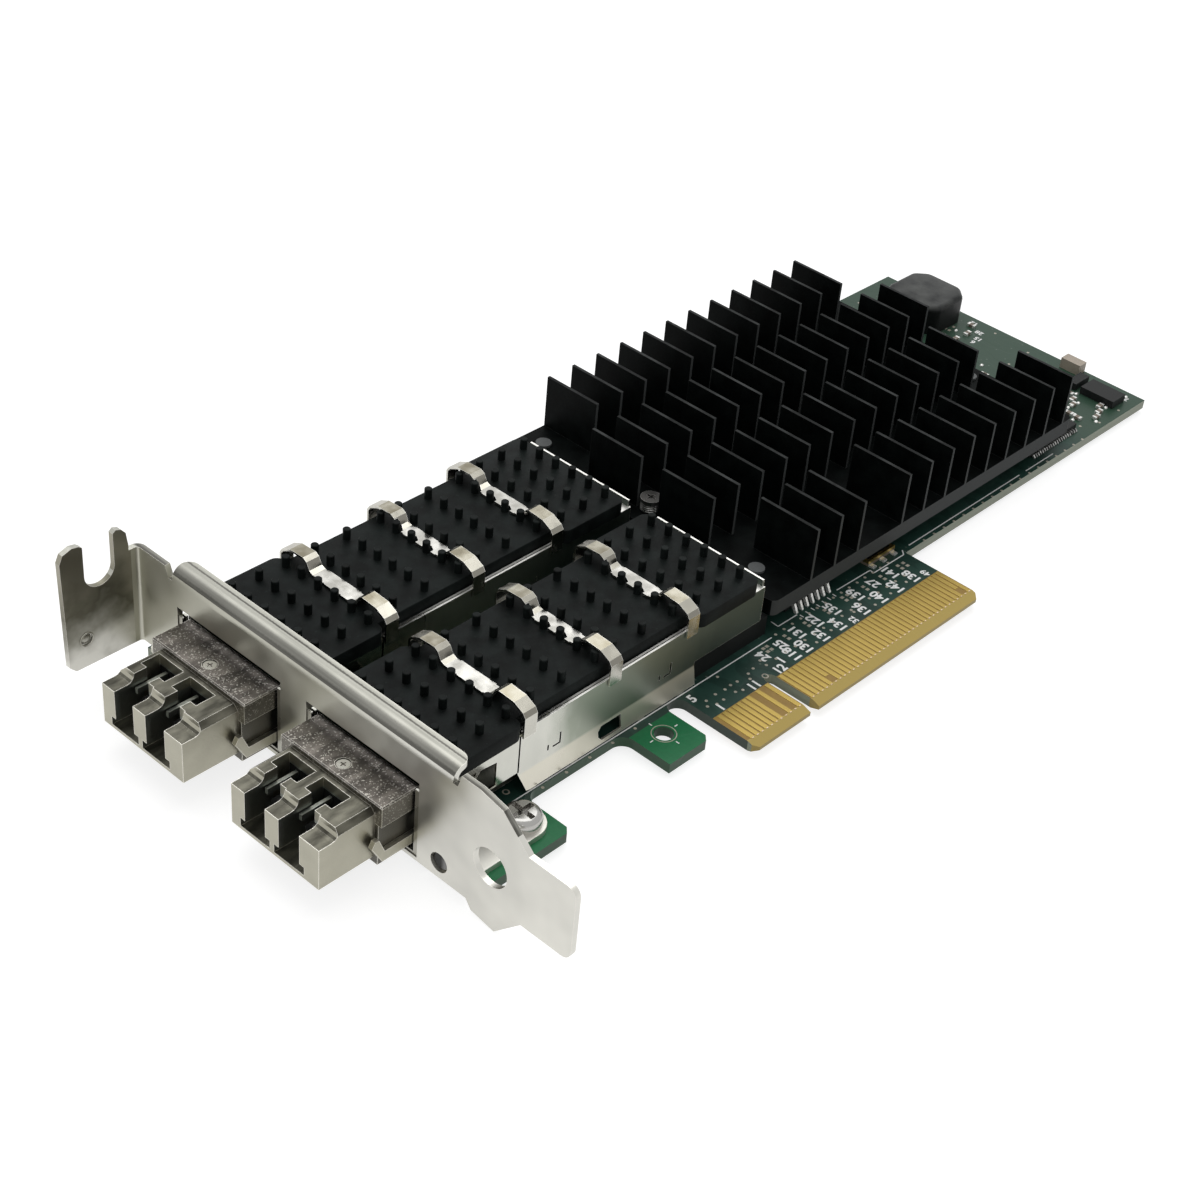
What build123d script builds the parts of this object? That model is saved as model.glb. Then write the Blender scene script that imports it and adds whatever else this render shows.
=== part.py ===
from build123d import *
import math
import os

os.makedirs("parts", exist_ok=True)

# Plug-in server network card, in millimetres.
# Origin: centre of the key notch, at the contact edge, on the component side of the board.
# +X runs along the card away from the bracket, +Y from the contact edge to the top edge,
# +Z out of the component side.

# Clearances
FIT = 0.15
SEAT = 0.05

# Circuit board
BOARD_T = 1.57
BOARD_FRONT = -59.35
BOARD_REAR = 107.48
BOARD_LOW = 13.75
BOARD_TOP = 68.9
EDGE_START = -12.6
EDGE_END = 39.1
EDGE_CORNER = 0.8
NOTCH_W = 1.9
NOTCH_DEPTH = 8.0
BEVEL_RUN = 1.4
BEVEL_RISE = 0.48
TAB_LOW = 5.35
TAB_ONE = (-57.4, -42.6)
TAB_TWO = (-23.95, -15.9)
TAB_ROOT_R = 2.0
TAB_HOLE = (-19.9, 10.06)
TAB_HOLE_D = 2.8
SLOT_TOP = 12.35

# Contacts of the edge connector
CONTACT_W = 0.74
CONTACT_T = 0.05
CONTACT_PITCH = 1.0
CONTACT_TOP = 7.6
CONTACT_MARGIN = 0.15
CONTACT_CUT = 1.6
CONTACTS_SHORT = 11
CONTACTS_LONG = 38
FIRST_CONTACT = 1.5
FRONT_BARE = (8, 10)
FRONT_CUT = (17, 48)
BACK_CUT = (1,)

# Bracket
SHEET_T = 0.86
FACE_X = -60.47
FACE_LOW = -0.35
FACE_TOP = 18.07
FACE_END = 66.3
FACE_CORNER_R = 1.5
BEND_R = 0.5
FLANGE_BEND_R = 1.0
FLANGE_REAR = -57.3
FLANGE_Y = (9.0, 61.3)
FLANGE_CORNER_R = 1.6
TAB_PLANE = 68.3
TAB_ROOT = -61.9
TAB_OUT = -72.45
TAB_Z = (2.4, 17.7)
CASE_SLOT = (-66.55, 16.65)
CASE_SLOT_W = 4.7
DIMPLE = (-69.2, 6.75)
DIMPLE_D = 1.9
EAR_X = -46.8
EAR_YS = (10.0, 64.7)
EAR_R = 3.15
SCREW_D = 2.2
SCREW_HEAD_D = 5.3
SCREW_HEAD_H = 1.9
LED_HOLE = (10.7, 2.1)
LED_HOLE_D = 2.9
WIDE_HOLE = (2.2, 7.3)
WIDE_HOLE_D = 5.6

# Ports: two pluggable optical modules side by side
PORT_LINES = {"right": 24.8, "left": 50.2}
PORT_W = 20.5
PORT_Z = (0.2, 12.3)

# Cages
WALL_T = 0.3
CAGE_LOW = 0.25
CAGE_FRONT = -59.3
CAGE_REAR = 4.8
CAGE_BACK_TOP = 10.9
RIM_Z = 10.5
SHOULDER_Z = 9.8
FOOT_Z = 3.3
FOOT_FLARE = 0.5
SEAM_X = -43.05
SEAM_GAP = 0.3
REAR_CUT_X = -9.2
REAR_CUT_Z = 3.9
FOOT_SLOT = (-28.4, -24.0)
FOOT_SLOT_Z = (0.75, 2.9)
LANCE_XS = (-38.0, -16.7)
CAGE_FEET = (-40.6, -33.0, -20.0, -12.0)

# Modules
PORT_GAP = 1.08
MODULE_W = PORT_W - 2 * PORT_GAP
SIDE_STEP = 0.6
BODY_W = MODULE_W - 2 * SIDE_STEP
MODULE_LOW = 0.95
MODULE_TOP = 9.35
MODULE_REAR = -12.0
LID_TOP = 10.5
LID_LOW = 7.4
LID_FRONT = -65.4
LID_EDGE = 0.18
NOSE_FRONT = -74.2
NOSE_W = MODULE_W - 2.34
NOSE_LOW = 2.1
NOSE_TOP = 9.7
NOSE_STEP_Z = 8.4
NOSE_FLOOR_T = 0.5
SOCKET_STARTS = (1.75, -4.5)
SOCKET_W = 3.75
SOCKET_REAR = -66.2
FERRULE_Z = 5.2
ARM_T = 0.7
ARM_Z = (2.0, 3.5)
ARM_X = (-65.3, -50.0)
LID_SCREW_X = -63.4
LID_SCREW_R = 0.9
MODULE_CARD_X = (-20.0, -4.0)
MODULE_CARD_Z = (3.6, 4.6)
MODULE_CARD_W = 14.6

# Host connectors behind the modules
HOST_X = (-9.1, 7.2)
HOST_TOP = 3.3
HOST_HEAD_X = 2.5
HOST_HEAD_Z = 6.6

# Pin coolers on the cages
COOLER_Z = (9.95, 12.15)
COOLER_X = (-59.0, 2.95)
COOLER_OVERHANG = 0.55
COOLER_WAIST = 1.05
COOLER_W = PORT_W + 2 * COOLER_OVERHANG
COOLER_NECK_W = PORT_W - 2 * COOLER_WAIST
COOLER_NECK_X = (SEAM_X - 0.1, -9.8)
COOLER_CORNER_R = 1.4
PAD_X = (-56.5, -15.0)
PAD_W = MODULE_W - 4.0
PIN_R = 0.56
PIN_TOP = 13.85
PIN_SIDES = 6
WIDE_PIN_ROWS = (-57.65, -53.1, -48.55, -44.0, -7.95, -3.4, 1.15)
WIDE_PIN_LINES = (1.65, 4.95, 8.2)
NECK_PIN_ROWS = (-39.3, -33.6, -27.4, -24.1, -18.4, -12.35)
NECK_PIN_LINES = (1.5, 4.55, 7.75)

# Clips over the coolers
CLIP_XS = (-41.9, -26.2, -11.0)
CLIP_W = 2.2
CLIP_T = 0.3
CLIP_GAP = 0.1
STRAP_W = 2.5
SCALLOP_GAP = 0.45
STRAP_TOP = 12.6
HUMP_RISE = 1.8
CLIP_FOOT_Z = 9.5

# Main heat sink
SINK_Y = (14.5, 67.7)
SINK_Z = (3.1, 5.7)
SINK_CORNER_R = 1.2
FIN_TOP = 14.4
FIN_T = 0.5
FIN_PITCH = 5.43
FIN_FIRST = 10.4
FIN_STEPS = 13
SINK_MARGINS = (2.9, 3.11)
SINK_X = (FIN_FIRST - SINK_MARGINS[0], FIN_FIRST + FIN_PITCH * FIN_STEPS + SINK_MARGINS[1])
FIN_COLUMNS = (
    ((57.4, 67.7), range(1, 13)),
    ((43.3, 53.2), range(0, 14)),
    ((29.3, 39.2), range(0, 13)),
    ((14.5, 25.1), (1, 2, 3, 5, 6, 7, 8, 9, 10, 11, 12, 13)),
)
SINK_PINS = ((11.7, 64.0), (11.8, 21.4), (80.9, 62.5), (80.9, 33.0))
SINK_PIN_R = 1.0
SINK_PIN_HEAD_R = 1.25
SINK_PIN_HEAD_H = 0.35
SINK_SCREW = (11.0, 41.4)
SPRING_TOP = 7.4
SCREW_REACH = 0.6

# Chips and small parts
CHIP_CENTRE = (46.0, 41.0)
CHIP_W = 31.0
CHIP_STEP = 4.0
BALLS_H = 0.4
CARRIER_TOP = 1.6
CHIP_TOP = 2.8
CLOCK_X = (31.7, 38.2)
CLOCK_Y = (15.3, 20.3)
CLOCK_RIM = 0.5
INDUCTOR_X = (94.7, 106.3)
INDUCTOR_Y = (50.5, 61.8)
INDUCTOR_H = 5.3
INDUCTOR_CUT = 2.2
SMALL_H = 0.5
SMALL_PARTS = (
    (96.0, 20.9, 0), (97.4, 21.9, 0), (98.7, 23.4, 90), (93.0, 18.1, 90), (93.1, 19.8, 90),
    (93.2, 21.6, 90), (95.8, 16.1, 0), (97.5, 16.7, 0), (99.2, 17.6, 0), (94.0, 29.0, 0),
    (95.5, 33.0, 90), (92.0, 36.5, 90), (96.0, 45.5, 0), (98.2, 47.0, 0), (101.5, 46.8, 0),
    (104.5, 48.0, 90), (90.0, 55.0, 0),
)


def box(x, y, z):
    """Block between the given low and high values on each axis."""
    size = Box(x[1] - x[0], y[1] - y[0], z[1] - z[0], align=(Align.MIN,) * 3)
    return Pos(x[0], y[0], z[0]) * size


def band(centre, width):
    """Low and high values of a band of the given width."""
    return (centre - width / 2, centre + width / 2)


def post(x, y, z, radius):
    """Round post standing on z[0] and ending at z[1]."""
    disc = Cylinder(radius, z[1] - z[0], align=(Align.CENTER, Align.CENTER, Align.MIN))
    return Pos(x, y, z[0]) * disc


def peg(x, y, z, radius, sides=8):
    """Many-sided post, for pins and for shafts and holes out of sight."""
    face = Pos(x, y, z[0]) * RegularPolygon(radius, sides)
    return extrude(face, z[1] - z[0], dir=(0, 0, 1))


def peg_x(y, z, x, radius, sides=12):
    """Many-sided bar lying along X between x[0] and x[1]."""
    return prism(Pos(y, z) * RegularPolygon(radius, sides), "x", x)


def rod_x(y, z, x, radius):
    """Round bar lying along X between x[0] and x[1]."""
    bar = Cylinder(radius, x[1] - x[0], align=(Align.CENTER, Align.CENTER, Align.MIN))
    return Pos(x[0], y, z) * Rot(0, 90, 0) * bar


def rod_y(x, z, y, radius):
    """Round bar lying along Y between y[0] and y[1]."""
    bar = Cylinder(radius, y[1] - y[0], align=(Align.CENTER, Align.CENTER, Align.MIN))
    return Pos(x, y[0], z) * Rot(-90, 0, 0) * bar


def prism(outline, across, span):
    """Points or a face in the plane square to one axis, filled between two values on it."""
    low, high = span
    planes = {"x": Plane.YZ.offset(low), "y": Plane.XZ.offset(-high), "z": Plane.XY.offset(low)}
    plane = planes[across]
    face = make_face(Polyline(*outline, close=True)) if isinstance(outline, (list, tuple)) else outline
    return extrude(plane * face, high - low, dir=plane.z_dir)


def ribbon(path, thickness, side):
    """Face of a thin strip that follows a path on one side of it."""
    return make_face(offset(path, thickness, side=side, kind=Kind.INTERSECTION))


def strip_outline(points, thickness):
    """Outline of a thin bent strip: its points and their copies one thickness to the right."""
    inner = []
    for i, (x, y) in enumerate(points):
        normals = []
        for start, end in ((i - 1, i), (i, i + 1)):
            if start < 0 or end == len(points):
                continue
            run = points[end][0] - points[start][0]
            rise = points[end][1] - points[start][1]
            length = math.hypot(run, rise)
            normals.append((rise / length, -run / length))
        nx = sum(normal[0] for normal in normals)
        ny = sum(normal[1] for normal in normals)
        scale = thickness / (nx * normals[0][0] + ny * normals[0][1])
        inner.append((x + nx * scale, y + ny * scale))
    return points + inner[::-1]


def corner_edges(part, axis, corners):
    """Edges of a part along one axis that stand at the given corners."""
    found = []
    for edge in part.edges().filter_by({"x": Axis.X, "z": Axis.Z}[axis]):
        middle = edge.center()
        spot = (middle.Y, middle.Z) if axis == "x" else (middle.X, middle.Y)
        if any(math.dist(spot, corner) < 0.01 for corner in corners):
            found.append(edge)
    return found


def save(name, solids):
    """Write one node as a STEP file."""
    shape = Compound(children=solids) if isinstance(solids, list) else solids
    shape.label = name
    export_step(shape, f"parts/{name}.step")


def board():
    """Board outline with two mounting tabs and the bevelled connector edge."""
    half_notch = NOTCH_W / 2
    points = [
        (BOARD_FRONT, BOARD_LOW),
        (TAB_ONE[0], BOARD_LOW),
        (TAB_ONE[0], TAB_LOW),
        (TAB_ONE[1] - EDGE_CORNER, TAB_LOW),
        (TAB_ONE[1], TAB_LOW + EDGE_CORNER),
        (TAB_ONE[1], BOARD_LOW),
        (TAB_TWO[0], BOARD_LOW),
        (TAB_TWO[0], TAB_LOW),
        (TAB_TWO[1] - EDGE_CORNER, TAB_LOW),
        (TAB_TWO[1], TAB_LOW + EDGE_CORNER),
        (TAB_TWO[1], SLOT_TOP),
        (EDGE_START, SLOT_TOP),
        (EDGE_START, EDGE_CORNER),
        (EDGE_START + EDGE_CORNER, 0),
        (-half_notch, 0),
        (-half_notch, NOTCH_DEPTH),
        (half_notch, NOTCH_DEPTH),
        (half_notch, 0),
        (EDGE_END - EDGE_CORNER, 0),
        (EDGE_END, EDGE_CORNER),
        (EDGE_END, BOARD_LOW),
        (BOARD_REAR, BOARD_LOW),
        (BOARD_REAR, BOARD_TOP),
        (BOARD_FRONT, BOARD_TOP),
    ]
    thickness = (-BOARD_T, 0)
    plate = prism(points, "z", thickness)
    roots = corner_edges(plate, "z", [(TAB_ONE[1], BOARD_LOW), (TAB_TWO[0], BOARD_LOW)])
    plate = fillet(roots, TAB_ROOT_R)
    slot_r = (EDGE_START - TAB_TWO[1]) / 2
    plate -= post(TAB_TWO[1] + slot_r, SLOT_TOP, thickness, slot_r)
    plate -= peg(0, NOTCH_DEPTH, thickness, half_notch, 12)
    plate -= post(*TAB_HOLE, thickness, TAB_HOLE_D / 2)
    for y in EAR_YS:
        plate -= peg(EAR_X, y, thickness, SCREW_D / 2 + 2 * FIT)
    for x, y in (*SINK_PINS, SINK_SCREW):
        plate -= peg(x, y, thickness, SINK_PIN_R + 2 * FIT)
    low = -BOARD_T
    upper = [(0, 0), (BEVEL_RUN, 0), (0, -BEVEL_RISE)]
    lower = [(0, low), (BEVEL_RUN, low), (0, low + BEVEL_RISE)]
    for wedge in (upper, lower):
        plate -= prism(wedge, "x", (EDGE_START, EDGE_END))
    return plate


def contact_xs():
    """Centre of each contact along the edge, with the gap of the key notch."""
    short = [-FIRST_CONTACT - CONTACT_PITCH * i for i in range(CONTACTS_SHORT)]
    long = [FIRST_CONTACT + CONTACT_PITCH * i for i in range(CONTACTS_LONG)]
    return short[::-1] + long


def contacts(z, bare, cut):
    """Row of contacts on one face, some places bare and some contacts cut short."""
    row = []
    for place, x in enumerate(contact_xs(), start=1):
        if place in bare:
            continue
        start = BEVEL_RUN + CONTACT_MARGIN + (CONTACT_CUT if place in cut else 0)
        row.append(box(band(x, CONTACT_W), (start, CONTACT_TOP), z))
    return row


def bracket_face():
    """Face plate of the bracket with its holes and the two port openings."""
    flange_foot = FACE_TOP - FLANGE_BEND_R - SHEET_T - FIT
    outline = [
        (FACE_END, FACE_LOW),
        (5.93, FACE_LOW),
        (4.95, -1.67),
        (0.95, -2.33),
        (-3.24, 1.9),
        (-11.35, 1.95),
        (-11.35, 13.2),
        (-3.75, 13.2),
        (0.7, 17.3),
        (4.5, FACE_TOP),
        (7.6, FACE_TOP),
        (8.2, flange_foot),
        (62.0, flange_foot),
        (62.7, TAB_Z[1]),
        (FACE_END, TAB_Z[1]),
    ]
    span = (FACE_X, FACE_X + SHEET_T)
    plate = prism(outline, "x", span)
    plate = fillet(corner_edges(plate, "x", [(-11.35, 1.95), (-11.35, 13.2)]), FACE_CORNER_R)
    for line in PORT_LINES.values():
        plate -= box(span, band(line, PORT_W), PORT_Z)
    plate -= rod_x(*LED_HOLE, span, LED_HOLE_D / 2)
    plate -= rod_x(*WIDE_HOLE, span, WIDE_HOLE_D / 2)
    return plate


def bracket_tab():
    """Tab turned away from the card, with the open slot for the case screw."""
    inside, outside = TAB_PLANE, TAB_PLANE + SHEET_T
    back = FACE_X + SHEET_T
    path = FilletPolyline((back, FACE_END), (back, outside), (TAB_ROOT, outside), radius=BEND_R + SHEET_T)
    bend = prism(ribbon(path, SHEET_T, Side.LEFT), "z", TAB_Z)
    outline = [
        (TAB_ROOT, TAB_Z[0]),
        (-71.1, TAB_Z[0]),
        (-72.1, 3.4),
        (TAB_OUT, 20.2),
        (-71.9, 21.4),
        (-70.5, 21.9),
        (-69.4, 21.7),
        (-68.5, 21.0),
        (-64.6, 21.0),
        (-63.7, 21.7),
        (-62.9, 21.4),
        (-62.2, 20.6),
        (TAB_ROOT, 18.6),
    ]
    plate = prism(outline, "y", (inside, outside))
    x, z = CASE_SLOT
    plate -= rod_y(x, z, (inside, outside), CASE_SLOT_W / 2)
    plate -= box(band(x, CASE_SLOT_W), (inside, outside), (z, z + 10))
    plate -= rod_y(*DIMPLE, (inside, outside), DIMPLE_D / 2)
    return bend + plate


def bracket_flange():
    """Top flange of the bracket, folded back over the card."""
    foot = FACE_TOP - FLANGE_BEND_R - SHEET_T - 2 * FIT
    path = FilletPolyline(
        (FACE_X, foot), (FACE_X, FACE_TOP), (FLANGE_REAR, FACE_TOP), radius=FLANGE_BEND_R + SHEET_T
    )
    flange = prism(ribbon(path, SHEET_T, Side.RIGHT), "y", FLANGE_Y)
    ends = flange.edges().filter_by(Axis.Z).group_by(Axis.X)[-1]
    return fillet(ends, FLANGE_CORNER_R)


def bracket():
    """Folded bracket: face, top flange, screw tab and two ears that lie on the board."""
    whole = bracket_face() + bracket_flange() + bracket_tab()
    thickness = (0, SHEET_T)
    for y in EAR_YS:
        ear = box((FACE_X + SHEET_T, EAR_X), band(y, 2 * EAR_R), thickness)
        ear += post(EAR_X, y, thickness, EAR_R)
        whole += ear - peg(EAR_X, y, thickness, SCREW_D / 2 + 2 * FIT)
    return whole


def cross_recess(x, y, top, size):
    """Cross-shaped recess of a screw head."""
    depth = (top - size * 0.35, top)
    arm = box(band(x, size), band(y, size * 0.22), depth)
    return arm + box(band(x, size * 0.22), band(y, size), depth)


def bracket_screw(y):
    """Pan-head screw that clamps an ear to the board."""
    top = SHEET_T + SCREW_HEAD_H
    head = peg(EAR_X, y, (SHEET_T, top), SCREW_HEAD_D / 2, 16)
    head = chamfer(head.edges().group_by(Axis.Z)[-1], 0.6)
    head -= cross_recess(EAR_X, y, top, SCREW_HEAD_D * 0.55)
    return head + peg(EAR_X, y, (-BOARD_T - SCREW_REACH, SHEET_T), SCREW_D / 2)


def light_guide():
    """Status light behind the small hole of the bracket."""
    y, z = LED_HOLE
    back = FACE_X + SHEET_T + 1.0
    lens = peg_x(y, z, (FACE_X + 0.4, back), LED_HOLE_D / 2 - FIT - 2 * SEAT, 24)
    return lens + box((back, back + 3.0), band(y, 2.6), (SHEET_T, z + 1.2))


def cage_window():
    """Cut of the front window in a cage's side, with two slanted spring fingers left in it."""
    window = [(-47.2, 7.9), (-47.2, 4.15), (-54.4, 4.15), (-54.4, 8.4), (-52.9, 8.6)]
    fingers = [
        [(-54.4, 4.6), (-54.4, 5.5), (-52.3, 8.5), (-51.7, 8.4)],
        [(-52.6, 4.15), (-53.2, 4.15), (-50.7, 8.3), (-50.1, 8.2)],
    ]
    return window, fingers


def cage_wall(line, side):
    """Long side wall of a cage: flared foot, stepped top edge and rear cut-out."""
    outer = line + side * PORT_W / 2
    inner = outer - side * WALL_T
    flare = side * FOOT_FLARE
    section = [
        (outer + flare, CAGE_LOW),
        (outer, FOOT_Z),
        (outer, RIM_Z),
        (inner, RIM_Z),
        (inner, FOOT_Z),
        (inner + flare, CAGE_LOW),
    ]
    wall = prism(section, "x", (CAGE_FRONT, CAGE_REAR))
    across = (min(outer, inner) - 1, max(outer, inner) + 1)
    wall -= box((CAGE_FRONT, SEAM_X), across, (SHOULDER_Z, RIM_Z))
    wall -= box((COOLER_NECK_X[1] - 2 * FIT, CAGE_REAR), across, (SHOULDER_Z, RIM_Z))
    wall -= box((REAR_CUT_X, CAGE_REAR), across, (0, REAR_CUT_Z))
    seam = [(SEAM_X - SEAM_GAP, 3.9), (SEAM_X + 1.3, 0), (CAGE_FRONT, 0), (CAGE_FRONT, 3.9)]
    wall -= prism(seam, "y", across)
    wall -= box((SEAM_X - SEAM_GAP, SEAM_X), across, (3.8, SHOULDER_Z))
    window, fingers = cage_window()
    skin = (min(outer, inner), max(outer, inner))
    wall -= prism(window, "y", across)
    for finger in fingers:
        wall += prism(finger, "y", skin)
    (x0, x1), (z0, z1) = FOOT_SLOT, FOOT_SLOT_Z
    corner = (z1 - z0) * 0.3
    slot = [(x0 + corner, z0), (x0, z0 + corner), (x0, z1 - corner), (x0 + corner, z1), (x1, z1), (x1, z0)]
    wall -= prism(slot, "y", across)
    for x in LANCE_XS:
        wall -= box((x, x + 0.3), across, (4.5, 5.4))
        wall -= box((x + 1.0, x + 2.5), across, (4.5, 4.8))
        wall -= box((x + 2.2, x + 2.5), across, (4.5, 6.4))
    return wall


def cage(line):
    """Sheet cage around one module: side walls, rear wall, top plate and board feet."""
    inner = PORT_W / 2 - WALL_T
    shell = cage_wall(line, 1) + cage_wall(line, -1)
    rear = box((CAGE_REAR - WALL_T, CAGE_REAR), band(line, PORT_W - 2 * WALL_T), (REAR_CUT_Z, CAGE_BACK_TOP))
    plate = (SHOULDER_Z - WALL_T, SHOULDER_Z)
    top = box((CAGE_FRONT, CAGE_REAR), band(line, 2 * inner), plate)
    top -= box((PAD_X[0] - 0.5, PAD_X[1] + 0.5), band(line, PAD_W + 0.6), plate)
    shell += rear + top
    neck_rear = COOLER_NECK_X[1] - 2 * FIT
    for side in (-1, 1):
        lip = line + side * (inner - 0.35)
        shell += box((SEAM_X, neck_rear), band(lip, WALL_T), (plate[0], RIM_Z - SEAT))
        foot = line + side * (PORT_W / 2 - WALL_T / 2 + FOOT_FLARE * 0.9)
        for x in CAGE_FEET:
            shell += box(band(x, 1.2), band(foot, WALL_T), (0, 0.6))
    return shell


def collar(line):
    """Spring collar between the sides of a module and its opening in the bracket."""
    depth = (FACE_X + FIT, CAGE_FRONT - SEAT)
    inside = MODULE_W + 4 * FIT
    top = LID_TOP + 2 * FIT
    ring = box(depth, band(line, PORT_W - 2 * SEAT), (PORT_Z[0] + SEAT, top))
    ring -= box(depth, band(line, inside), (MODULE_LOW - 2 * FIT, top))
    return ring - box((depth[0] + 0.3, depth[0] + 0.65), band(line, PORT_W), (MODULE_LOW, top))


def cooler(line):
    """Pin cooler lying on a cage, waisted between the end sections."""
    wide, neck = COOLER_W / 2, COOLER_NECK_W / 2
    x0, x1 = COOLER_X
    n0, n1 = COOLER_NECK_X
    half = [(x0, wide), (n0, wide), (n0, neck), (n1, neck), (n1, wide), (x1, wide)]
    outline = [(x, line + y) for x, y in half] + [(x, line - y) for x, y in half[::-1]]
    body = prism(outline, "z", COOLER_Z)
    corners = [(x, line + side * wide) for x in (x0, n0, n1, x1) for side in (-1, 1)]
    body = fillet(corner_edges(body, "z", corners), COOLER_CORNER_R)
    pad = box(PAD_X, band(line, PAD_W), (MODULE_TOP + SEAT, COOLER_Z[0]))
    pins = [cooler_pin(*spot) for spot in pin_spots(line)]
    return body + [pad, *pins]


def pin_spots(line):
    """Place of each pin of a cooler."""
    spots = []
    for rows, lines in ((WIDE_PIN_ROWS, WIDE_PIN_LINES), (NECK_PIN_ROWS, NECK_PIN_LINES)):
        for x in rows:
            spots += [(x, line + side * y) for y in lines for side in (-1, 1)]
    return spots


def cooler_pin(x, y):
    """One short pin of a cooler."""
    return peg(x, y, (COOLER_Z[1], PIN_TOP), PIN_R, PIN_SIDES)


def clip_path(line):
    """Upper line of a clip: straight over the middle, humped at each side, down to the hooks."""
    reach = COOLER_W / 2 + CLIP_GAP + CLIP_T - 0.55
    hump = STRAP_TOP + HUMP_RISE
    half = [
        (reach, CLIP_FOOT_Z),
        (reach, hump - 1.65),
        (reach - 0.45, hump - 0.95),
        (reach - 2.1, hump - 0.15),
        (reach - 4.8, hump),
        (reach - 5.5, hump - 0.4),
        (reach - 6.1, STRAP_TOP + 0.3),
        (reach - 6.8, STRAP_TOP),
    ]
    right = [(line - y, z) for y, z in half]
    left = [(line + y, z) for y, z in half[::-1]]
    return right + left


def clip(line, x):
    """Spring clip that arches over the cooler and hooks on the cage walls."""
    strip = prism(strip_outline(clip_path(line), CLIP_T), "x", band(x, CLIP_W))
    half_strap = COOLER_W / 2 - 7.6
    strap = box(band(x, STRAP_W), band(line, 2 * half_strap), (STRAP_TOP - CLIP_T, STRAP_TOP))
    near = [spot for spot in pin_spots(line) if abs(spot[0] - x) < STRAP_W]
    holes = [peg(*spot, (COOLER_Z[1], PIN_TOP), PIN_R + SCALLOP_GAP, PIN_SIDES) for spot in near]
    return strip + strap - holes


def nose(line):
    """Cast nose of a module with two open latch slots and two receptacle sockets."""
    half = NOSE_W / 2
    side_view = [
        (NOSE_FRONT, NOSE_LOW),
        (NOSE_FRONT, NOSE_STEP_Z),
        (NOSE_FRONT + 2.0, NOSE_STEP_Z),
        (-71.75, 8.5),
        (-71.4, 8.75),
        (-71.15, 9.15),
        (-71.05, NOSE_TOP),
        (LID_FRONT, NOSE_TOP),
        (LID_FRONT, NOSE_LOW),
    ]
    body = prism(side_view, "y", (line - half, line + half))
    for side in (-1, 1):
        outer = line + side * half
        rail = [(outer, NOSE_TOP - 0.8), (outer - side * 0.8, NOSE_TOP), (outer, NOSE_TOP)]
        body -= prism(rail, "x", (NOSE_FRONT, LID_FRONT))
    for start in SOCKET_STARTS:
        body = open_socket(body, line + start)
    block = receptacle_space(line, FIT)
    return body - box((SOCKET_REAR, LID_FRONT), *block)


def open_socket(body, low_y):
    """Cut one socket into the nose, with its latch slot, hook and ledge."""
    floor = NOSE_LOW + NOSE_FLOOR_T
    opening = (low_y, low_y + SOCKET_W)
    wide = (opening[0] - 0.85, opening[1] + 0.85)
    body -= box((NOSE_FRONT, SOCKET_REAR), opening, (floor, NOSE_TOP))
    body -= box((NOSE_FRONT + 0.7, SOCKET_REAR), wide, (floor, NOSE_STEP_Z - 0.6))
    body -= box((NOSE_FRONT, SOCKET_REAR), wide, (floor, floor + 1.3))
    body -= box((-69.1, SOCKET_REAR), (opening[1] - 0.4, opening[1] + 1.15), (floor, NOSE_TOP))
    body += box((-70.85, -69.2), (opening[0], opening[0] + 1.1), (NOSE_STEP_Z - 0.6, NOSE_TOP))
    body += box((-71.0, SOCKET_REAR), (opening[1] - 0.5, opening[1]), (6.6, NOSE_STEP_Z - 0.9))
    return body


def receptacle_space(line, gap):
    """Y and Z span of the receptacle block, widened by a gap."""
    floor = NOSE_LOW + NOSE_FLOOR_T
    return (
        band(line, NOSE_W - 2.4 + 2 * gap),
        (floor + FIT - gap, NOSE_STEP_Z - 0.4 - FIT + gap),
    )


def receptacle(line):
    """Black receptacle block in the nose with a sleeve in each socket."""
    front = SOCKET_REAR + 0.1
    block = box((front, LID_FRONT), *receptacle_space(line, 0))
    for start in SOCKET_STARTS:
        middle = line + start + SOCKET_W / 2
        sleeve = peg_x(middle, FERRULE_Z, (-70.6, front), 1.35)
        block += sleeve - peg_x(middle, FERRULE_Z, (-70.6, front - 0.4), 0.65)
    return block


def module_body(line):
    """Lower shell of a module, from the nose into the cage."""
    shell = box((LID_FRONT, MODULE_REAR), band(line, BODY_W), (MODULE_LOW, LID_LOW))
    slot = (MODULE_CARD_X[0] - FIT, MODULE_REAR)
    return shell - box(slot, band(line, MODULE_CARD_W + 2 * FIT), MODULE_CARD_Z)


def module_lid(line):
    """Upper shell of a module: raised at the front, flat where it slides into the cage."""
    step_x = CAGE_FRONT - SEAT
    outline = [
        (LID_FRONT, LID_LOW),
        (LID_FRONT, LID_TOP),
        (step_x, LID_TOP),
        (step_x, MODULE_TOP),
        (MODULE_REAR, MODULE_TOP),
        (MODULE_REAR, LID_LOW),
    ]
    lid = prism(outline, "y", band(line, MODULE_W))
    top = lid.edges().group_by(Axis.Z)[-1]
    lid = chamfer(top.filter_by(Axis.X) + top.filter_by(Axis.Y).group_by(Axis.X)[0], LID_EDGE)
    return lid - peg(LID_SCREW_X, line, (LID_TOP - 0.3, LID_TOP), LID_SCREW_R + FIT, 12)


def lid_screw(line):
    """Countersunk screw of the lid."""
    top = LID_TOP - 0.1
    head = peg(LID_SCREW_X, line, (LID_TOP - 0.3, top), LID_SCREW_R, 12)
    return head - cross_recess(LID_SCREW_X, line, top, LID_SCREW_R)


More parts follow.
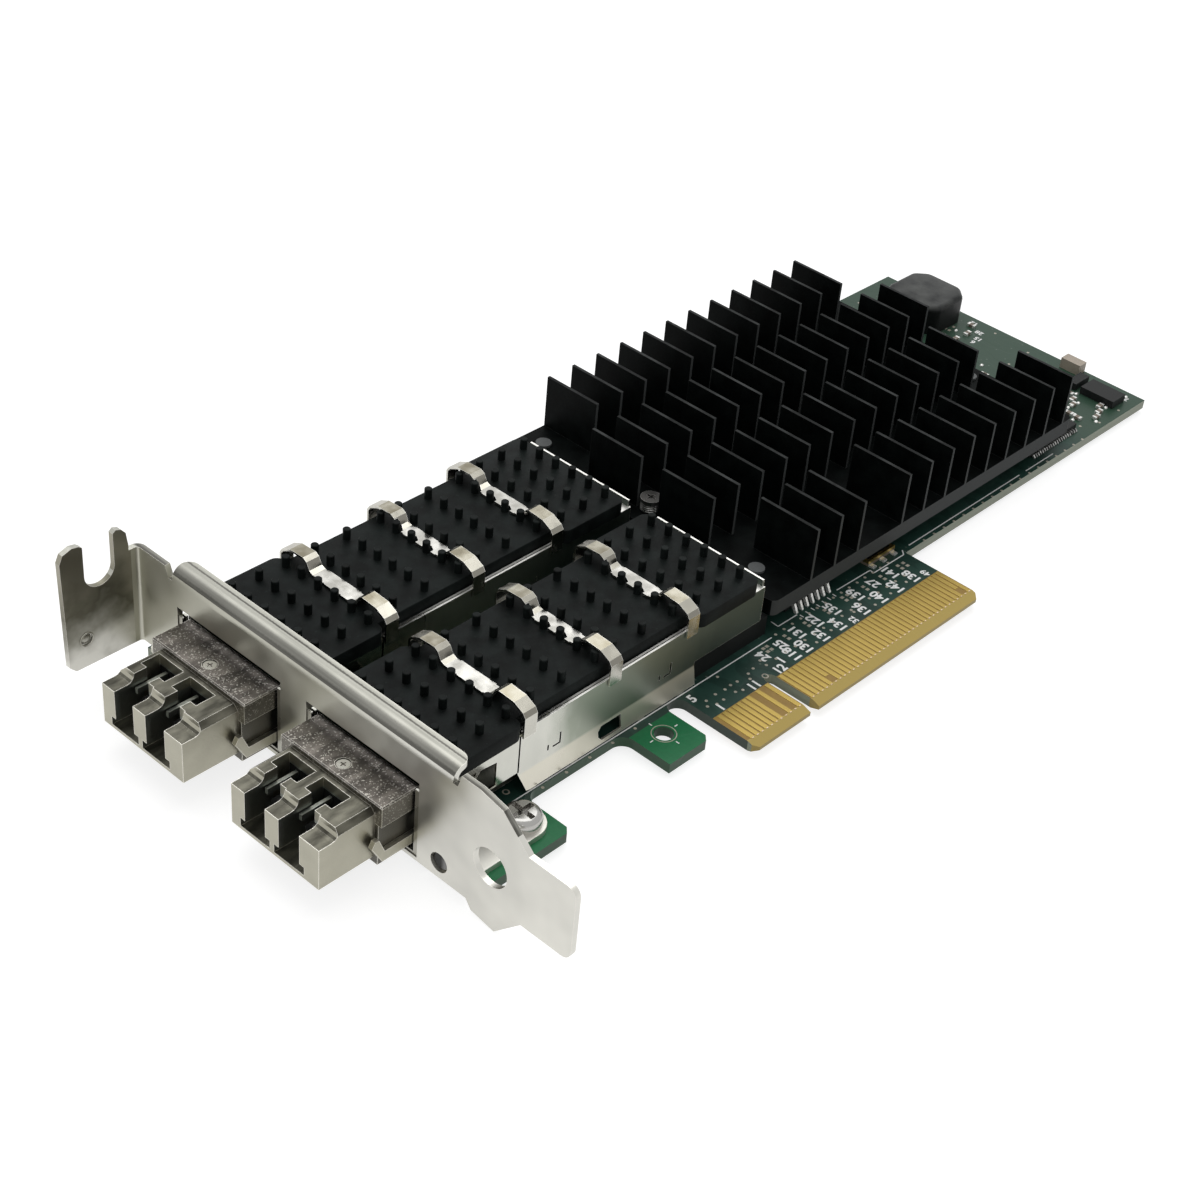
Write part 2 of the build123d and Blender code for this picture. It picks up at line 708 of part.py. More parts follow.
def latch_arm(line, side):
    """Release arm that runs back along one side of a module and hooks up at the nose."""
    inside = BODY_W / 2 + SEAT
    y = sorted((line + side * inside, line + side * (inside + ARM_T)))
    low, top = ARM_Z
    start = ARM_X[0]
    arm = box(ARM_X, y, ARM_Z)
    hook = [
        (start, low),
        (start - 1.7, 4.9),
        (start - 1.2, 5.8),
        (start - 0.6, 5.8),
        (start + 0.4, top),
        (start + 0.4, low),
    ]
    return arm + prism(hook, "y", y)


def module_card(line):
    """Small board of a module that plugs into the host connector."""
    return box(MODULE_CARD_X, band(line, MODULE_CARD_W), MODULE_CARD_Z)


def host_connector(line):
    """Connector behind the module, half inside the cage."""
    front, rear = HOST_X
    body = box((front, rear), band(line, PORT_W - 1.1), (0, HOST_TOP))
    body += box((front, HOST_HEAD_X), band(line, PORT_W - 2.9), (HOST_TOP, HOST_HEAD_Z))
    slot = (MODULE_CARD_Z[0] - FIT, MODULE_CARD_Z[1] + FIT)
    return body - box((front, MODULE_CARD_X[1] + FIT), band(line, MODULE_CARD_W + 4 * FIT), slot)


def sink_fins():
    """X place and Y span of each fin of the main heat sink."""
    fins = []
    for span, places in FIN_COLUMNS:
        fins += [(FIN_FIRST + FIN_PITCH * place, span) for place in places]
    return fins


def main_sink():
    """Cross-cut heat sink over the controller."""
    base = box(SINK_X, SINK_Y, SINK_Z)
    base = fillet(base.edges().filter_by(Axis.Z), SINK_CORNER_R)
    base -= [peg(x, y, SINK_Z, SINK_PIN_R + 2 * FIT) for x, y in (*SINK_PINS, SINK_SCREW)]
    return base + [box(band(x, FIN_T), span, (SINK_Z[1], FIN_TOP)) for x, span in sink_fins()]


def sink_pin(x, y):
    """Push pin with a flat head that holds the heat sink."""
    head = peg(x, y, (SINK_Z[1], SINK_Z[1] + SINK_PIN_HEAD_H), SINK_PIN_HEAD_R, 16)
    return head + peg(x, y, (-BOARD_T - SCREW_REACH, SINK_Z[1]), SINK_PIN_R)


def sink_screw():
    """Shoulder screw with a collar for its spring."""
    x, y = SINK_SCREW
    top = SPRING_TOP + 0.7
    head = peg(x, y, (SPRING_TOP, top), 1.6, 16)
    head -= cross_recess(x, y, top, 1.5)
    return head + peg(x, y, (-BOARD_T - SCREW_REACH, SPRING_TOP), SINK_PIN_R)


def sink_spring():
    """Spring under the screw head, as one sleeve."""
    x, y = SINK_SCREW
    span = (SINK_Z[1], SPRING_TOP)
    return peg(x, y, span, 1.5, 16) - peg(x, y, span, SINK_PIN_R + FIT)


def controller():
    """Controller chip: carrier and raised die cover."""
    x, y = CHIP_CENTRE
    cover = CHIP_W - 2 * CHIP_STEP
    carrier = box(band(x, CHIP_W), band(y, CHIP_W), (BALLS_H, CARRIER_TOP))
    return carrier + box(band(x, cover), band(y, cover), (CARRIER_TOP, CHIP_TOP))


def controller_balls():
    """Solder grid under the controller, as rows of short bars."""
    x, y = CHIP_CENTRE
    pitch = (CHIP_W - 3) / 7
    return [box(band(x, CHIP_W - 3), band(y + step * pitch, 0.6), (0, BALLS_H)) for step in range(-3, 4)]


def heat_pad():
    """Soft pad between the controller and the heat sink."""
    x, y = CHIP_CENTRE
    cover = CHIP_W - 2 * CHIP_STEP
    return box(band(x, cover), band(y, cover), (CHIP_TOP, SINK_Z[0]))


def gull_leads(xs, edge, out, top, width):
    """Row of bent chip leads that come out of an edge facing -Y."""
    metal = 0.15
    line = [
        (edge, top),
        (edge - out * 0.5, top),
        (edge - out, metal),
        (edge - out, 0),
        (edge - out * 0.6, 0),
        (edge, top - metal),
    ]
    return [prism(line, "x", band(x, width)) for x in xs]


def edge_chip():
    """Small chip tucked under the front of the heat sink, with seven leads in view."""
    return box((13.2, 23.6), (16.3, 22.0), (0.2, 2.4))


def edge_leads():
    """Leads of the small chip."""
    return gull_leads([14.5 + 1.27 * i for i in range(7)], 16.3, 1.3, 1.4, 0.4)


def memory_chip():
    """Flat memory chip under the rear corner of the heat sink."""
    return box((76.2, 89.9), (16.4, 27.0), (0.15, 1.15))


def memory_leads():
    """Fine leads of the memory chip."""
    return gull_leads([76.9 + 0.62 * i for i in range(21)], 16.4, 0.7, 0.55, 0.26)


def clock_part():
    """Clock part at the edge of the heat sink: ceramic base, gilt rim and cover."""
    low, rim_top = 0.45, 0.95
    base = box(CLOCK_X, CLOCK_Y, (0, low))
    inner_x = (CLOCK_X[0] + CLOCK_RIM, CLOCK_X[1] - CLOCK_RIM)
    inner_y = (CLOCK_Y[0] + CLOCK_RIM, CLOCK_Y[1] - CLOCK_RIM)
    rim = box(CLOCK_X, CLOCK_Y, (low, rim_top)) - box(inner_x, inner_y, (low, rim_top))
    cover = box(inner_x, inner_y, (low, rim_top - 0.1))
    return base, rim, cover


def inductor():
    """Moulded power inductor with cut corners."""
    (x0, x1), (y0, y1) = INDUCTOR_X, INDUCTOR_Y
    block = box(INDUCTOR_X, INDUCTOR_Y, (0, INDUCTOR_H))
    corners = [(x0, y0), (x0, y1), (x1, y0), (x1, y1)]
    block = chamfer(corner_edges(block, "z", corners), INDUCTOR_CUT)
    return fillet(block.edges().group_by(Axis.Z)[-1], 0.8)


def corner_chips():
    """Three small black chips near the rear lower corner."""
    return [
        box((100.3, 104.2), (15.9, 22.4), (0.1, 1.4)),
        box((100.4, 104.6), (23.4, 25.2), (0.1, 1.3)),
        box((92.6, 96.2), (23.6, 26.4), (0.1, 1.2)),
    ]


def tan_capacitor():
    """Tantalum capacitor at the rear edge."""
    return box((105.2, 107.3), (25.9, 29.7), (0, 1.9))


def small_part(x, y, turn):
    """Body of one chip resistor or capacitor."""
    return Pos(x, y, 0) * Rot(0, 0, turn) * box((-0.35, 0.35), (-0.4, 0.4), (0, SMALL_H))


def solder_ends():
    """Bright ends of the small parts, and the three feet of the clock part."""
    ends = []
    for x, y, turn in SMALL_PARTS:
        for span in ((-0.75, -0.35), (0.35, 0.75)):
            end = box(span, (-0.4, 0.4), (0, SMALL_H))
            ends.append(Pos(x, y, 0) * Rot(0, 0, turn) * end)
    step = (CLOCK_X[1] - CLOCK_X[0]) * 0.4
    for place in range(3):
        foot = CLOCK_X[0] + 0.5 + step * place
        ends.append(box(band(foot, 0.8), (CLOCK_Y[0] - 0.9, CLOCK_Y[0]), (0, 0.3)))
    return ends


def underside_parts():
    """Flat parts on the back of the board."""
    low = -BOARD_T
    parts = [box((38.0, 54.0), (33.0, 49.0), (low - 0.6, low))]
    for x, y in ((66, 30), (66, 36), (66, 42), (24, 30), (24, 36), (24, 42), (90, 40), (90, 46)):
        parts.append(box(band(x, 3.2), band(y, 1.6), (low - 0.55, low)))
    return parts


def export_module(name, line):
    """Write the nodes that each port has."""
    save(f"cage_{name}", cage(line))
    save(f"collar_{name}", collar(line))
    save(f"cooler_{name}", cooler(line))
    save(f"clips_{name}", [clip(line, x) for x in CLIP_XS])
    save(f"module_nose_{name}", nose(line))
    save(f"receptacle_{name}", receptacle(line))
    save(f"module_body_{name}", module_body(line))
    save(f"module_lid_{name}", module_lid(line))
    save(f"latch_arms_{name}", [latch_arm(line, side) for side in (-1, 1)])
    save(f"module_card_{name}", module_card(line))
    save(f"host_connector_{name}", host_connector(line))


def export_all():
    """Write every node."""
    save("circuit_board", board())
    save("gold_contacts_front", contacts((0, CONTACT_T), FRONT_BARE, FRONT_CUT))
    save("gold_contacts_back", contacts((-BOARD_T - CONTACT_T, -BOARD_T), (), BACK_CUT))
    save("bracket", bracket())
    save("bracket_screws", [bracket_screw(y) for y in EAR_YS])
    save("light_guide", light_guide())
    for name, line in PORT_LINES.items():
        export_module(name, line)
    save("lid_screws", [lid_screw(line) for line in PORT_LINES.values()])
    save("main_heat_sink", main_sink())
    save("sink_pins", [sink_pin(*spot) for spot in SINK_PINS])
    save("sink_screw", sink_screw())
    save("sink_spring", sink_spring())
    save("controller", controller())
    save("controller_balls", controller_balls())
    save("heat_pad", heat_pad())
    save("edge_chip", edge_chip())
    save("edge_chip_leads", edge_leads())
    save("memory_chip", memory_chip())
    save("memory_chip_leads", memory_leads())
    base, rim, cover = clock_part()
    save("oscillator", base)
    save("oscillator_rim", rim)
    save("oscillator_lid", cover)
    save("inductor", inductor())
    save("corner_chips", corner_chips())
    save("tan_capacitors", tan_capacitor())
    save("small_parts", [small_part(*spot) for spot in SMALL_PARTS])
    save("solder_ends", solder_ends())
    save("underside_parts", underside_parts())


export_all()
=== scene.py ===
import math

import bpy
from bpy.props import FloatProperty, FloatVectorProperty, IntProperty, PointerProperty
from mathutils import Euler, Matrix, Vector


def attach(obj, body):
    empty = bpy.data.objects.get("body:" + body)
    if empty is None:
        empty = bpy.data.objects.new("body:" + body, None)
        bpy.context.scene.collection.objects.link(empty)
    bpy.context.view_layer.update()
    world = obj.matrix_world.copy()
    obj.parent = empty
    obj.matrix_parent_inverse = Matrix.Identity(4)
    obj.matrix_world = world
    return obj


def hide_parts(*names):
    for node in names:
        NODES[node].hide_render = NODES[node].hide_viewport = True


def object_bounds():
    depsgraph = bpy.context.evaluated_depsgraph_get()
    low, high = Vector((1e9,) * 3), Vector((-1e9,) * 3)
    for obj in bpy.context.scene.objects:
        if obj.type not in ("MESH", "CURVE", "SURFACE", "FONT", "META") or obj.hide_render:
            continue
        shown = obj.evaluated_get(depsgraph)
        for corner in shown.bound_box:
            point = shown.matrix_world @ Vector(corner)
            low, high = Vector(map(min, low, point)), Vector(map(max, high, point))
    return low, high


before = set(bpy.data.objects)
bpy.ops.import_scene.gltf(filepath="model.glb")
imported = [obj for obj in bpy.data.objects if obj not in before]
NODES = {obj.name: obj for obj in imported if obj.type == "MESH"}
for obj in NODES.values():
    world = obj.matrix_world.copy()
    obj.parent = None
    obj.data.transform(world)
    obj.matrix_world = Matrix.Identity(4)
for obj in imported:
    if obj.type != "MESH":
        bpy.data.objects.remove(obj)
CAD_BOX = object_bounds()

bl_info = {
    "name": "Network card finishes",
    "version": (1, 0, 0),
    "blender": (4, 5, 0),
    "location": "View3D > Sidebar > Network Card",
    "description": "Dresses a plug-in network card: finishes, printed marks, small fasteners and studio",
    "category": "Object",
}

MM = 0.001

# Where a finish changes, in millimetres
TABS = (-15.5, 12.6)
GREEN_EDGE_Y = 20
CONTACT_ROW = (-12.6, 39.1, 7.75)
CONTACT_TIP_Y = 1.7
SLIT = (-16.5, -12.0, 1.5)
SCREW_TAB_X = -61.6
FLANGE_Z = 15
CAGE_LIP_Z = 8
FIN_TOP_Z = 14.3
HUMP_Z = 14.1
PORT_MIDDLE, PORT_OFFSET = 37.5, 12.7
SOCKET_FRONT, SOCKET_HALF, SOCKET_Z = -74.1, 6.6, (2.7, 8.3)

# Painted highlight and wear along the edges of bright sheet
EDGE_HIGHLIGHT = (0.88, 0.87, 0.83)

# Places and sizes on the card, in millimetres
FILM = 0.025
GOLD_TOP = 0.056
INDUCTOR = ((94.7, 106.3), (50.5, 61.8), (0.0, 5.3))
EAR_X = -46.8
EAR_YS = (10.0, 64.7)
HEAD_Z, HEAD_RADIUS = (0.86, 2.76), 2.65
SHANK_Z, SHANK_RADIUS = (-2.17, 0.86), 1.1
RECESS_HALF, RECESS_Z = (1.85, 0.42), (1.9, 3.2)
SINK_SCREW = (11.0, 41.4)
SPRING_Z, SPRING_RADIUS, WIRE_RADIUS = (5.7, 7.4), 1.24, 0.24
DIMPLE = (-69.2, 68.3, 6.75)
TAB_HOLE = (-19.9, 10.06, 2.45)
PORT_LINES = {"right": 24.8, "left": 50.2}
COOLER_X = (-59.0, 2.95)
NECK_X = (-43.15, -9.8)
COOLER_Z = (9.95, 12.15)
WIDE_HALF = 10.8
NECK_HALF = 9.2
PAD_X = (-56.5, -15.0)
PAD_HALF, PAD_LOW = 7.17, 9.4
PIN_TOP, PIN_RADIUS = 13.85, 0.56
PIN_FIELDS = (
    ((-57.65, -53.1, -48.55, -44.0, -7.95, -3.4, 1.15), (1.65, 4.95, 8.2)),
    ((-39.3, -33.6, -27.4, -24.1, -18.4, -12.35), (1.5, 4.55, 7.75)),
)
PRINTED_PATHS = (
    ((-46.0, 14.0), (7.3, 13.85)),
    ((10.1, 16.3), (10.0, 14.9), (14.3, 14.85)),
    ((23.4, 14.75), (31.2, 14.55), (31.2, 13.75), (38.4, 13.65), (39.2, 14.5)),
    ((41.0, 14.6), (70.8, 14.6)),
    ((72.6, 14.6), (80.5, 14.6)),
)
LEAD_TICKS = [14.45 + 1.27 * i for i in range(7)]
TICK_WIDTH, TICK_Y = 0.18, (13.85, 14.55)
MARK_HALF = (0.28, 0.09)
CONTACT_XS = [-1.5 - i for i in range(11)] + [1.5 + i for i in range(38)]
END_HALF, END_Y = 0.17, (1.45, 1.62)
LAND_HALF, LAND_HEIGHT, LAND_STEPS = 0.3, 0.5, (-0.7, 0.15)
SMALL_DIGITS, DIGIT_WEIGHT = 0.72, 0.035
NUMBERS = (
    ("1", -10.5, 7.95, 0), ("11", -3.9, 7.9, 0), ("12", 1.6, 7.85, 0), ("1", 3.8, 9.0, 0),
    ("118", 7.3, 7.9, 90), ("130", 9.9, 7.9, 90), ("132", 13.8, 7.9, 90), ("134", 17.7, 7.9, 90),
    ("136", 23.3, 7.9, 90), ("140", 27.6, 7.9, 90), ("142", 31.5, 7.9, 90), ("138", 35.5, 7.9, 90),
    ("24", 3.7, 10.9, 90), ("25", 7.7, 10.9, 90), ("131", 11.7, 10.6, 90), ("122", 15.8, 10.6, 90),
    ("135", 20.0, 10.7, 90), ("139", 25.4, 10.6, 90), ("27", 29.7, 11.2, 90), ("141", 33.8, 10.6, 90),
    ("5", -12.1, 11.7, 0),
)
SMALL_NUMBERS = (
    ("32", 20.1, 7.9, 90), ("49", 37.6, 7.9, 90), ("7", 105.6, 15.6, 90), ("12", 106.2, 47.6, 90),
    ("28", 104.2, 45.0, 90), ("6", 100.6, 44.2, 90), ("15", 102.2, 43.8, 90), ("3", 99.2, 26.6, 90),
)
LANDS = (
    (4.4, 12.6), (5.2, 12.6), (9.0, 12.5), (13.6, 12.5), (18.2, 12.5), (22.6, 12.7), (23.7, 12.6),
    (27.1, 12.3), (31.2, 12.2), (35.4, 12.1), (36.6, 12.0), (98.3, 50.3), (100.2, 50.2), (101.8, 50.4),
)
VIAS = (
    (-5.3, 13.2), (-1.5, 10.8), (-4.0, 10.7), (-5.3, 10.8), (-6.6, 10.7), (-8.4, 10.9), (-4.8, 9.0),
    (-0.1, 11.1), (-2.2, 9.9), (2.0, 11.6), (-10.4, 10.8), (-8.4, 9.4), (-5.9, 9.4), (-11.2, 9.9),
    (-9.8, 9.4), (11.4, 8.9), (15.2, 9.3), (21.2, 9.8), (25.0, 8.8), (29.0, 9.0), (33.1, 9.2),
    *((1.9 + 2.15 * i, 10.35) for i in range(16)),
    *((8.3 + 1.9 * i, 13.95) for i in range(15)),
    *((44.0 + 2.6 * i, 13.9) for i in range(18)),
    *((-44.0 + 4.4 * i, 13.35) for i in range(6)),
    (88.5, 17.5), (90.3, 18.6), (91.4, 16.4), (95.0, 14.9), (101.0, 14.9), (105.4, 18.9), (105.8, 20.8),
    (97.0, 31.0), (99.0, 29.4), (103.0, 33.2), (104.9, 36.1), (98.9, 36.0), (105.9, 43.8), (95.0, 41.0),
    (97.6, 53.6), (90.5, 50.6), (89.0, 60.0), (91.6, 62.6), (100.4, 64.6), (104.9, 65.8), (95.2, 66.2),
)
SOLDER_SPOTS = (
    (99.7, 22.6), (97.4, 20.7), (93.7, 19.0), (94.7, 21.0), (92.0, 18.3), (96.7, 16.4), (99.9, 16.8),
    (94.7, 15.4), (105.6, 16.4), (88.4, 36.0), (101.0, 48.9), (98.0, 49.2), (94.6, 38.8),
)
RING_VIAS = ((-43.7, 15.9), (-54.3, 15.4), (90.6, 66.0), (-0.1, 8.9))

# Camera fitted to the photograph: millimetres, radians and parts of the frame's width
CAMERA_PLACE = (-197.227, -124.560, 186.988)
CAMERA_TURN = (0.930356, -0.088247, -0.827793)
CAMERA_SHIFT = (-0.02656, -0.00375)

# Studio: grey of the floor, its glow as a background, strength of the soft light all round
FLOOR_GREY = 0.42
FLOOR_GLOW = 0.78
SOFT_LIGHT = 0.45


# Sizes and colours a user would change

COLOUR = {"subtype": "COLOR", "size": 3, "min": 0.0, "max": 1.0}


class CARD_PG_board(bpy.types.PropertyGroup):
    """Board colours and printed marks"""

    mask: FloatVectorProperty(
        name="Solder mask", description="Green of the solder mask",
        default=(0.013, 0.036, 0.028), **COLOUR,
    )
    bare_mask: FloatVectorProperty(
        name="Clear mask", description="Green where no copper lies under the mask",
        default=(0.008, 0.125, 0.045), **COLOUR,
    )
    laminate: FloatVectorProperty(
        name="Laminate", description="Bare edge of the board",
        default=(0.30, 0.33, 0.25), **COLOUR,
    )
    gold: FloatVectorProperty(
        name="Gold", description="Plating of the contacts",
        default=(0.385, 0.28, 0.078), **COLOUR,
    )
    ink: FloatVectorProperty(
        name="Ink", description="White of the printed marks",
        default=(0.93, 0.95, 0.93), **COLOUR,
    )
    print_width: FloatProperty(
        name="Printed line", description="Width of the white printed lines", unit="LENGTH",
        min=0.0001, default=0.2 * MM,
    )
    digit_height: FloatProperty(
        name="Digit height", description="Size of the printed numbers", unit="LENGTH",
        min=0.0005, default=2.1 * MM,
    )


class CARD_PG_metal(bpy.types.PropertyGroup):
    """Metal colours and fasteners"""

    bracket: FloatVectorProperty(
        name="Bracket", description="Plated sheet of the bracket",
        default=(0.66, 0.65, 0.60), **COLOUR,
    )
    cage: FloatVectorProperty(
        name="Cage", description="Bright sheet of the cages",
        default=(0.55, 0.55, 0.50), **COLOUR,
    )
    casting: FloatVectorProperty(
        name="Casting", description="Plated module castings",
        default=(0.39, 0.375, 0.305), **COLOUR,
    )
    # Top tone of the lids and bodies: their darker plating with a painted reflection over it
    lid: FloatVectorProperty(
        name="Lid", description="Darker plated lids of the modules",
        default=(0.108, 0.098, 0.088), **COLOUR,
    )
    dye: FloatVectorProperty(
        name="Dye", description="Dyed metal of the coolers and the heat sink",
        default=(0.0042, 0.0056, 0.0053), **COLOUR,
    )
    dome: FloatProperty(
        name="Dome", description="Rounding of the screw heads", unit="LENGTH", min=0.0001, default=1.1 * MM,
    )
    turns: IntProperty(
        name="Spring turns", description="Turns of the spring under the sink's screw", min=1, default=4,
    )


class CARD_PG_studio(bpy.types.PropertyGroup):
    """Camera and lights"""

    lens: FloatProperty(
        name="Lens", description="Focal length in millimetres", min=10.0, default=65.436,
    )
    key: FloatProperty(
        name="Key light", description="Power of the large lamp over the card", unit="POWER",
        min=0.0, default=1.1,
    )
    fill: FloatProperty(
        name="Fill light", description="Power of the lamp at the bracket's side", unit="POWER",
        min=0.0, default=0.3,
    )


# Materials


def tone(colour, factor):
    """Colour made darker or brighter, at most white."""
    return [min(1.0, c * factor) for c in colour]


class Finish:
    """One node material, built up step by step."""

    def __init__(self, name, colour, metallic, roughness):
        self.material = bpy.data.materials.new(name)
        self.material.use_nodes = True
        self.tree = self.material.node_tree
        self.shader = self.tree.nodes["Principled BSDF"]
        self.shader.inputs["Metallic"].default_value = metallic
        self.shader.inputs["Roughness"].default_value = roughness
        self.shader.inputs["Base Color"].default_value = (*colour[:3], 1.0)
        self.place = self.tree.nodes.new("ShaderNodeTexCoord").outputs["Object"]

    def link(self, output, socket):
        """Join an output to an input."""
        self.tree.links.new(output, socket)

    def feed(self, value, socket):
        """Give an input a number, a colour or another node's output."""
        if isinstance(value, bpy.types.NodeSocket):
            self.link(value, socket)
        else:
            socket.default_value = (*value[:3], 1.0) if socket.type == "RGBA" else value

    def spaced(self, scale):
        """Object coordinates scaled per axis, in patterns per metre."""
        mapping = self.tree.nodes.new("ShaderNodeMapping")
        mapping.inputs["Scale"].default_value = scale
        self.link(self.place, mapping.inputs["Vector"])
        return mapping.outputs["Vector"]

    def noise(self, size, detail=3.0, stretch=(1, 1, 1)):
        """Cloudy pattern whose blotches are about size metres across."""
        node = self.tree.nodes.new("ShaderNodeTexNoise")
        node.inputs["Scale"].default_value = 1.0
        node.inputs["Detail"].default_value = detail
        self.link(self.spaced([s / size for s in stretch]), node.inputs["Vector"])
        return node.outputs["Fac"]

    def patches(self, low, high, size, detail=3.0, stretch=(1, 1, 1)):
        """Noise with sharper borders: 0 under a low level, 1 over a high one."""
        return self.steps(self.noise(size, detail, stretch), ((low, 0.0), (high, 1.0)))

    def cells(self, size):
        """Cell pattern whose cells are about size metres across."""
        node = self.tree.nodes.new("ShaderNodeTexVoronoi")
        node.inputs["Scale"].default_value = 1.0
        self.link(self.spaced([1 / size] * 3), node.inputs["Vector"])
        return node.outputs["Distance"]

    def steps(self, fac, stops):
        """Colour or grey ramp over a factor."""
        ramp = self.tree.nodes.new("ShaderNodeValToRGB")
        elements = ramp.color_ramp.elements
        while len(elements) < len(stops):
            elements.new(0.5)
        for element, (position, value) in zip(elements, stops):
            element.position = position
            element.color = (value, value, value, 1.0) if isinstance(value, float) else (*value, 1.0)
        self.link(fac, ramp.inputs["Fac"])
        return ramp.outputs["Color"]

    def math(self, operation, first, second=0.0):
        """One sum on factors or numbers."""
        node = self.tree.nodes.new("ShaderNodeMath")
        node.operation = operation
        for socket, value in zip(node.inputs, (first, second)):
            self.feed(value, socket)
        return node.outputs["Value"]

    def times(self, first, second):
        """Product of two factors."""
        return self.math("MULTIPLY", first, second)

    def plus(self, first, second):
        """Sum of two factors."""
        return self.math("ADD", first, second)

    def above(self, value, limit):
        """1 where the value is over a limit."""
        return self.math("GREATER_THAN", value, limit)

    def below(self, value, limit):
        """1 where the value is under a limit."""
        return self.math("LESS_THAN", value, limit)

    def mix(self, fac, first, second):
        """Blend of two colours."""
        node = self.tree.nodes.new("ShaderNodeMix")
        node.data_type = "RGBA"
        sockets = [s for s in node.inputs if s.type == "RGBA"]
        for socket, value in zip(sockets, (first, second)):
            self.feed(value, socket)
        self.feed(fac, node.inputs[0])
        return [s for s in node.outputs if s.type == "RGBA"][0]

    def tones(self, fac, colour, dark, bright):
        """Blend from a darker to a brighter tone of one colour."""
        return self.mix(fac, tone(colour, dark), tone(colour, bright))

    def axis(self, name):
        """One coordinate of the piece, in metres."""
        node = self.tree.nodes.new("ShaderNodeSeparateXYZ")
        self.link(self.place, node.inputs["Vector"])
        return node.outputs[name]

    def facing(self, axis):
        """How far the surface faces along one axis, either way."""
        geometry = self.tree.nodes.new("ShaderNodeNewGeometry")
        node = self.tree.nodes.new("ShaderNodeSeparateXYZ")
        self.link(geometry.outputs["True Normal"], node.inputs["Vector"])
        return self.math("ABSOLUTE", node.outputs[axis])

    def between(self, value, low, high):
        """1 where the value lies between two numbers."""
        return self.times(self.above(value, low), self.below(value, high))

    def colour(self, output):
        """Use a pattern as the colour."""
        self.link(output, self.shader.inputs["Base Color"])

    def roughness(self, fac, low, high):
        """Let the roughness run between two values."""
        span = self.tree.nodes.new("ShaderNodeMapRange")
        span.inputs["To Min"].default_value = low
        span.inputs["To Max"].default_value = high
        self.link(fac, span.inputs["Value"])
        self.link(span.outputs["Result"], self.shader.inputs["Roughness"])

    def bump(self, fac, distance, strength):
        """Add relief, distance metres deep."""
        node = self.tree.nodes.new("ShaderNodeBump")
        node.inputs["Distance"].default_value = distance
        node.inputs["Strength"].default_value = strength
        self.link(fac, node.inputs["Height"])
        self.link(node.outputs["Normal"], self.shader.inputs["Normal"])

    def worn(self, base, radius, amount, colour):
        """Blend in a colour along sharp edges, within a radius in metres: wear and a painted edge
        highlight.
        """
        bevel = self.tree.nodes.new("ShaderNodeBevel")
        bevel.samples = 6
        bevel.inputs["Radius"].default_value = radius
        geometry = self.tree.nodes.new("ShaderNodeNewGeometry")
        dot = self.tree.nodes.new("ShaderNodeVectorMath")
        dot.operation = "DOT_PRODUCT"
        self.link(bevel.outputs["Normal"], dot.inputs[0])
        self.link(geometry.outputs["Normal"], dot.inputs[1])
        return self.mix(self.steps(dot.outputs["Value"], ((0.86, amount), (0.99, 0.0))), base, colour)

    def dull(self, level):
        """Weaken the clear reflection that dark surfaces would show."""
        self.shader.inputs["Specular IOR Level"].default_value = level


def settings():
    """The three groups of settings."""
    scene = bpy.context.scene
    return scene.card_board, scene.card_metal, scene.card_studio


def board_finish():
    """Green solder mask over copper areas and traces, with bare laminate at cut edges and contacts."""
    board, _, _ = settings()
    mask = board.mask
    finish = Finish("solder_mask", mask, 0.0, 0.35)
    finish.dull(0.22)
    x, y = finish.axis("X"), finish.axis("Y")
    cloud = finish.noise(16 * MM, 2.0)
    fine = finish.noise(0.6 * MM)
    green = finish.tones(cloud, mask, 0.6, 1.7)
    copper = finish.patches(0.47, 0.5, 3.2 * MM, 1.0, (1, 0.6, 1))
    green = finish.mix(finish.times(copper, 0.3), green, tone(mask, 2.3))
    # Paler mask from 84 to 92 mm along the card
    rear = finish.steps(finish.times(x, 10.0), ((0.84, 0.0), (0.92, 1.0)))
    green = finish.mix(rear, green, (0.030, 0.066, 0.043))
    dots = finish.steps(finish.cells(1.9 * MM), ((0.07, 1.0), (0.11, 0.0)))
    green = finish.mix(finish.times(dots, 0.55), green, (0.13, 0.17, 0.14))
    tab_x, tab_y = TABS
    ahead = finish.below(x, tab_x * MM)
    tabs = finish.times(ahead, finish.below(y, tab_y * MM))
    lit = finish.mix(fine, board.bare_mask, tone(board.bare_mask, 1.35))
    green = finish.mix(tabs, green, lit)
    first, last, high = CONTACT_ROW
    row = finish.times(finish.between(x, first * MM, last * MM), finish.below(y, high * MM))
    tan = finish.mix(finish.noise(1.5 * MM), (0.25, 0.15, 0.035), (0.38, 0.24, 0.06))
    tip = finish.times(row, finish.below(y, CONTACT_TIP_Y * MM))
    tan = finish.mix(tip, tan, (0.47, 0.35, 0.10))
    top = finish.mix(row, green, tan)
    layers = finish.noise(0.35 * MM, 3.0, (0.05, 0.05, 1))
    side = finish.tones(layers, board.laminate, 0.75, 1.3)
    green_edge = finish.times(ahead, finish.below(y, GREEN_EDGE_Y * MM))
    side = finish.mix(green_edge, side, (0.035, 0.085, 0.045))
    side = finish.mix(tip, side, (0.46, 0.35, 0.115))
    # Painted shade on the laminate walls inside the slot
    start, end, low = SLIT
    slot_shade = finish.times(finish.between(x, start * MM, end * MM), finish.above(y, low * MM))
    side = finish.mix(slot_shade, side, (0.055, 0.075, 0.06))
    finish.colour(finish.mix(finish.above(finish.facing("Z"), 0.5), side, top))
    finish.roughness(cloud, 0.28, 0.42)
    finish.bump(copper, 0.02 * MM, 0.5)
    return finish.material


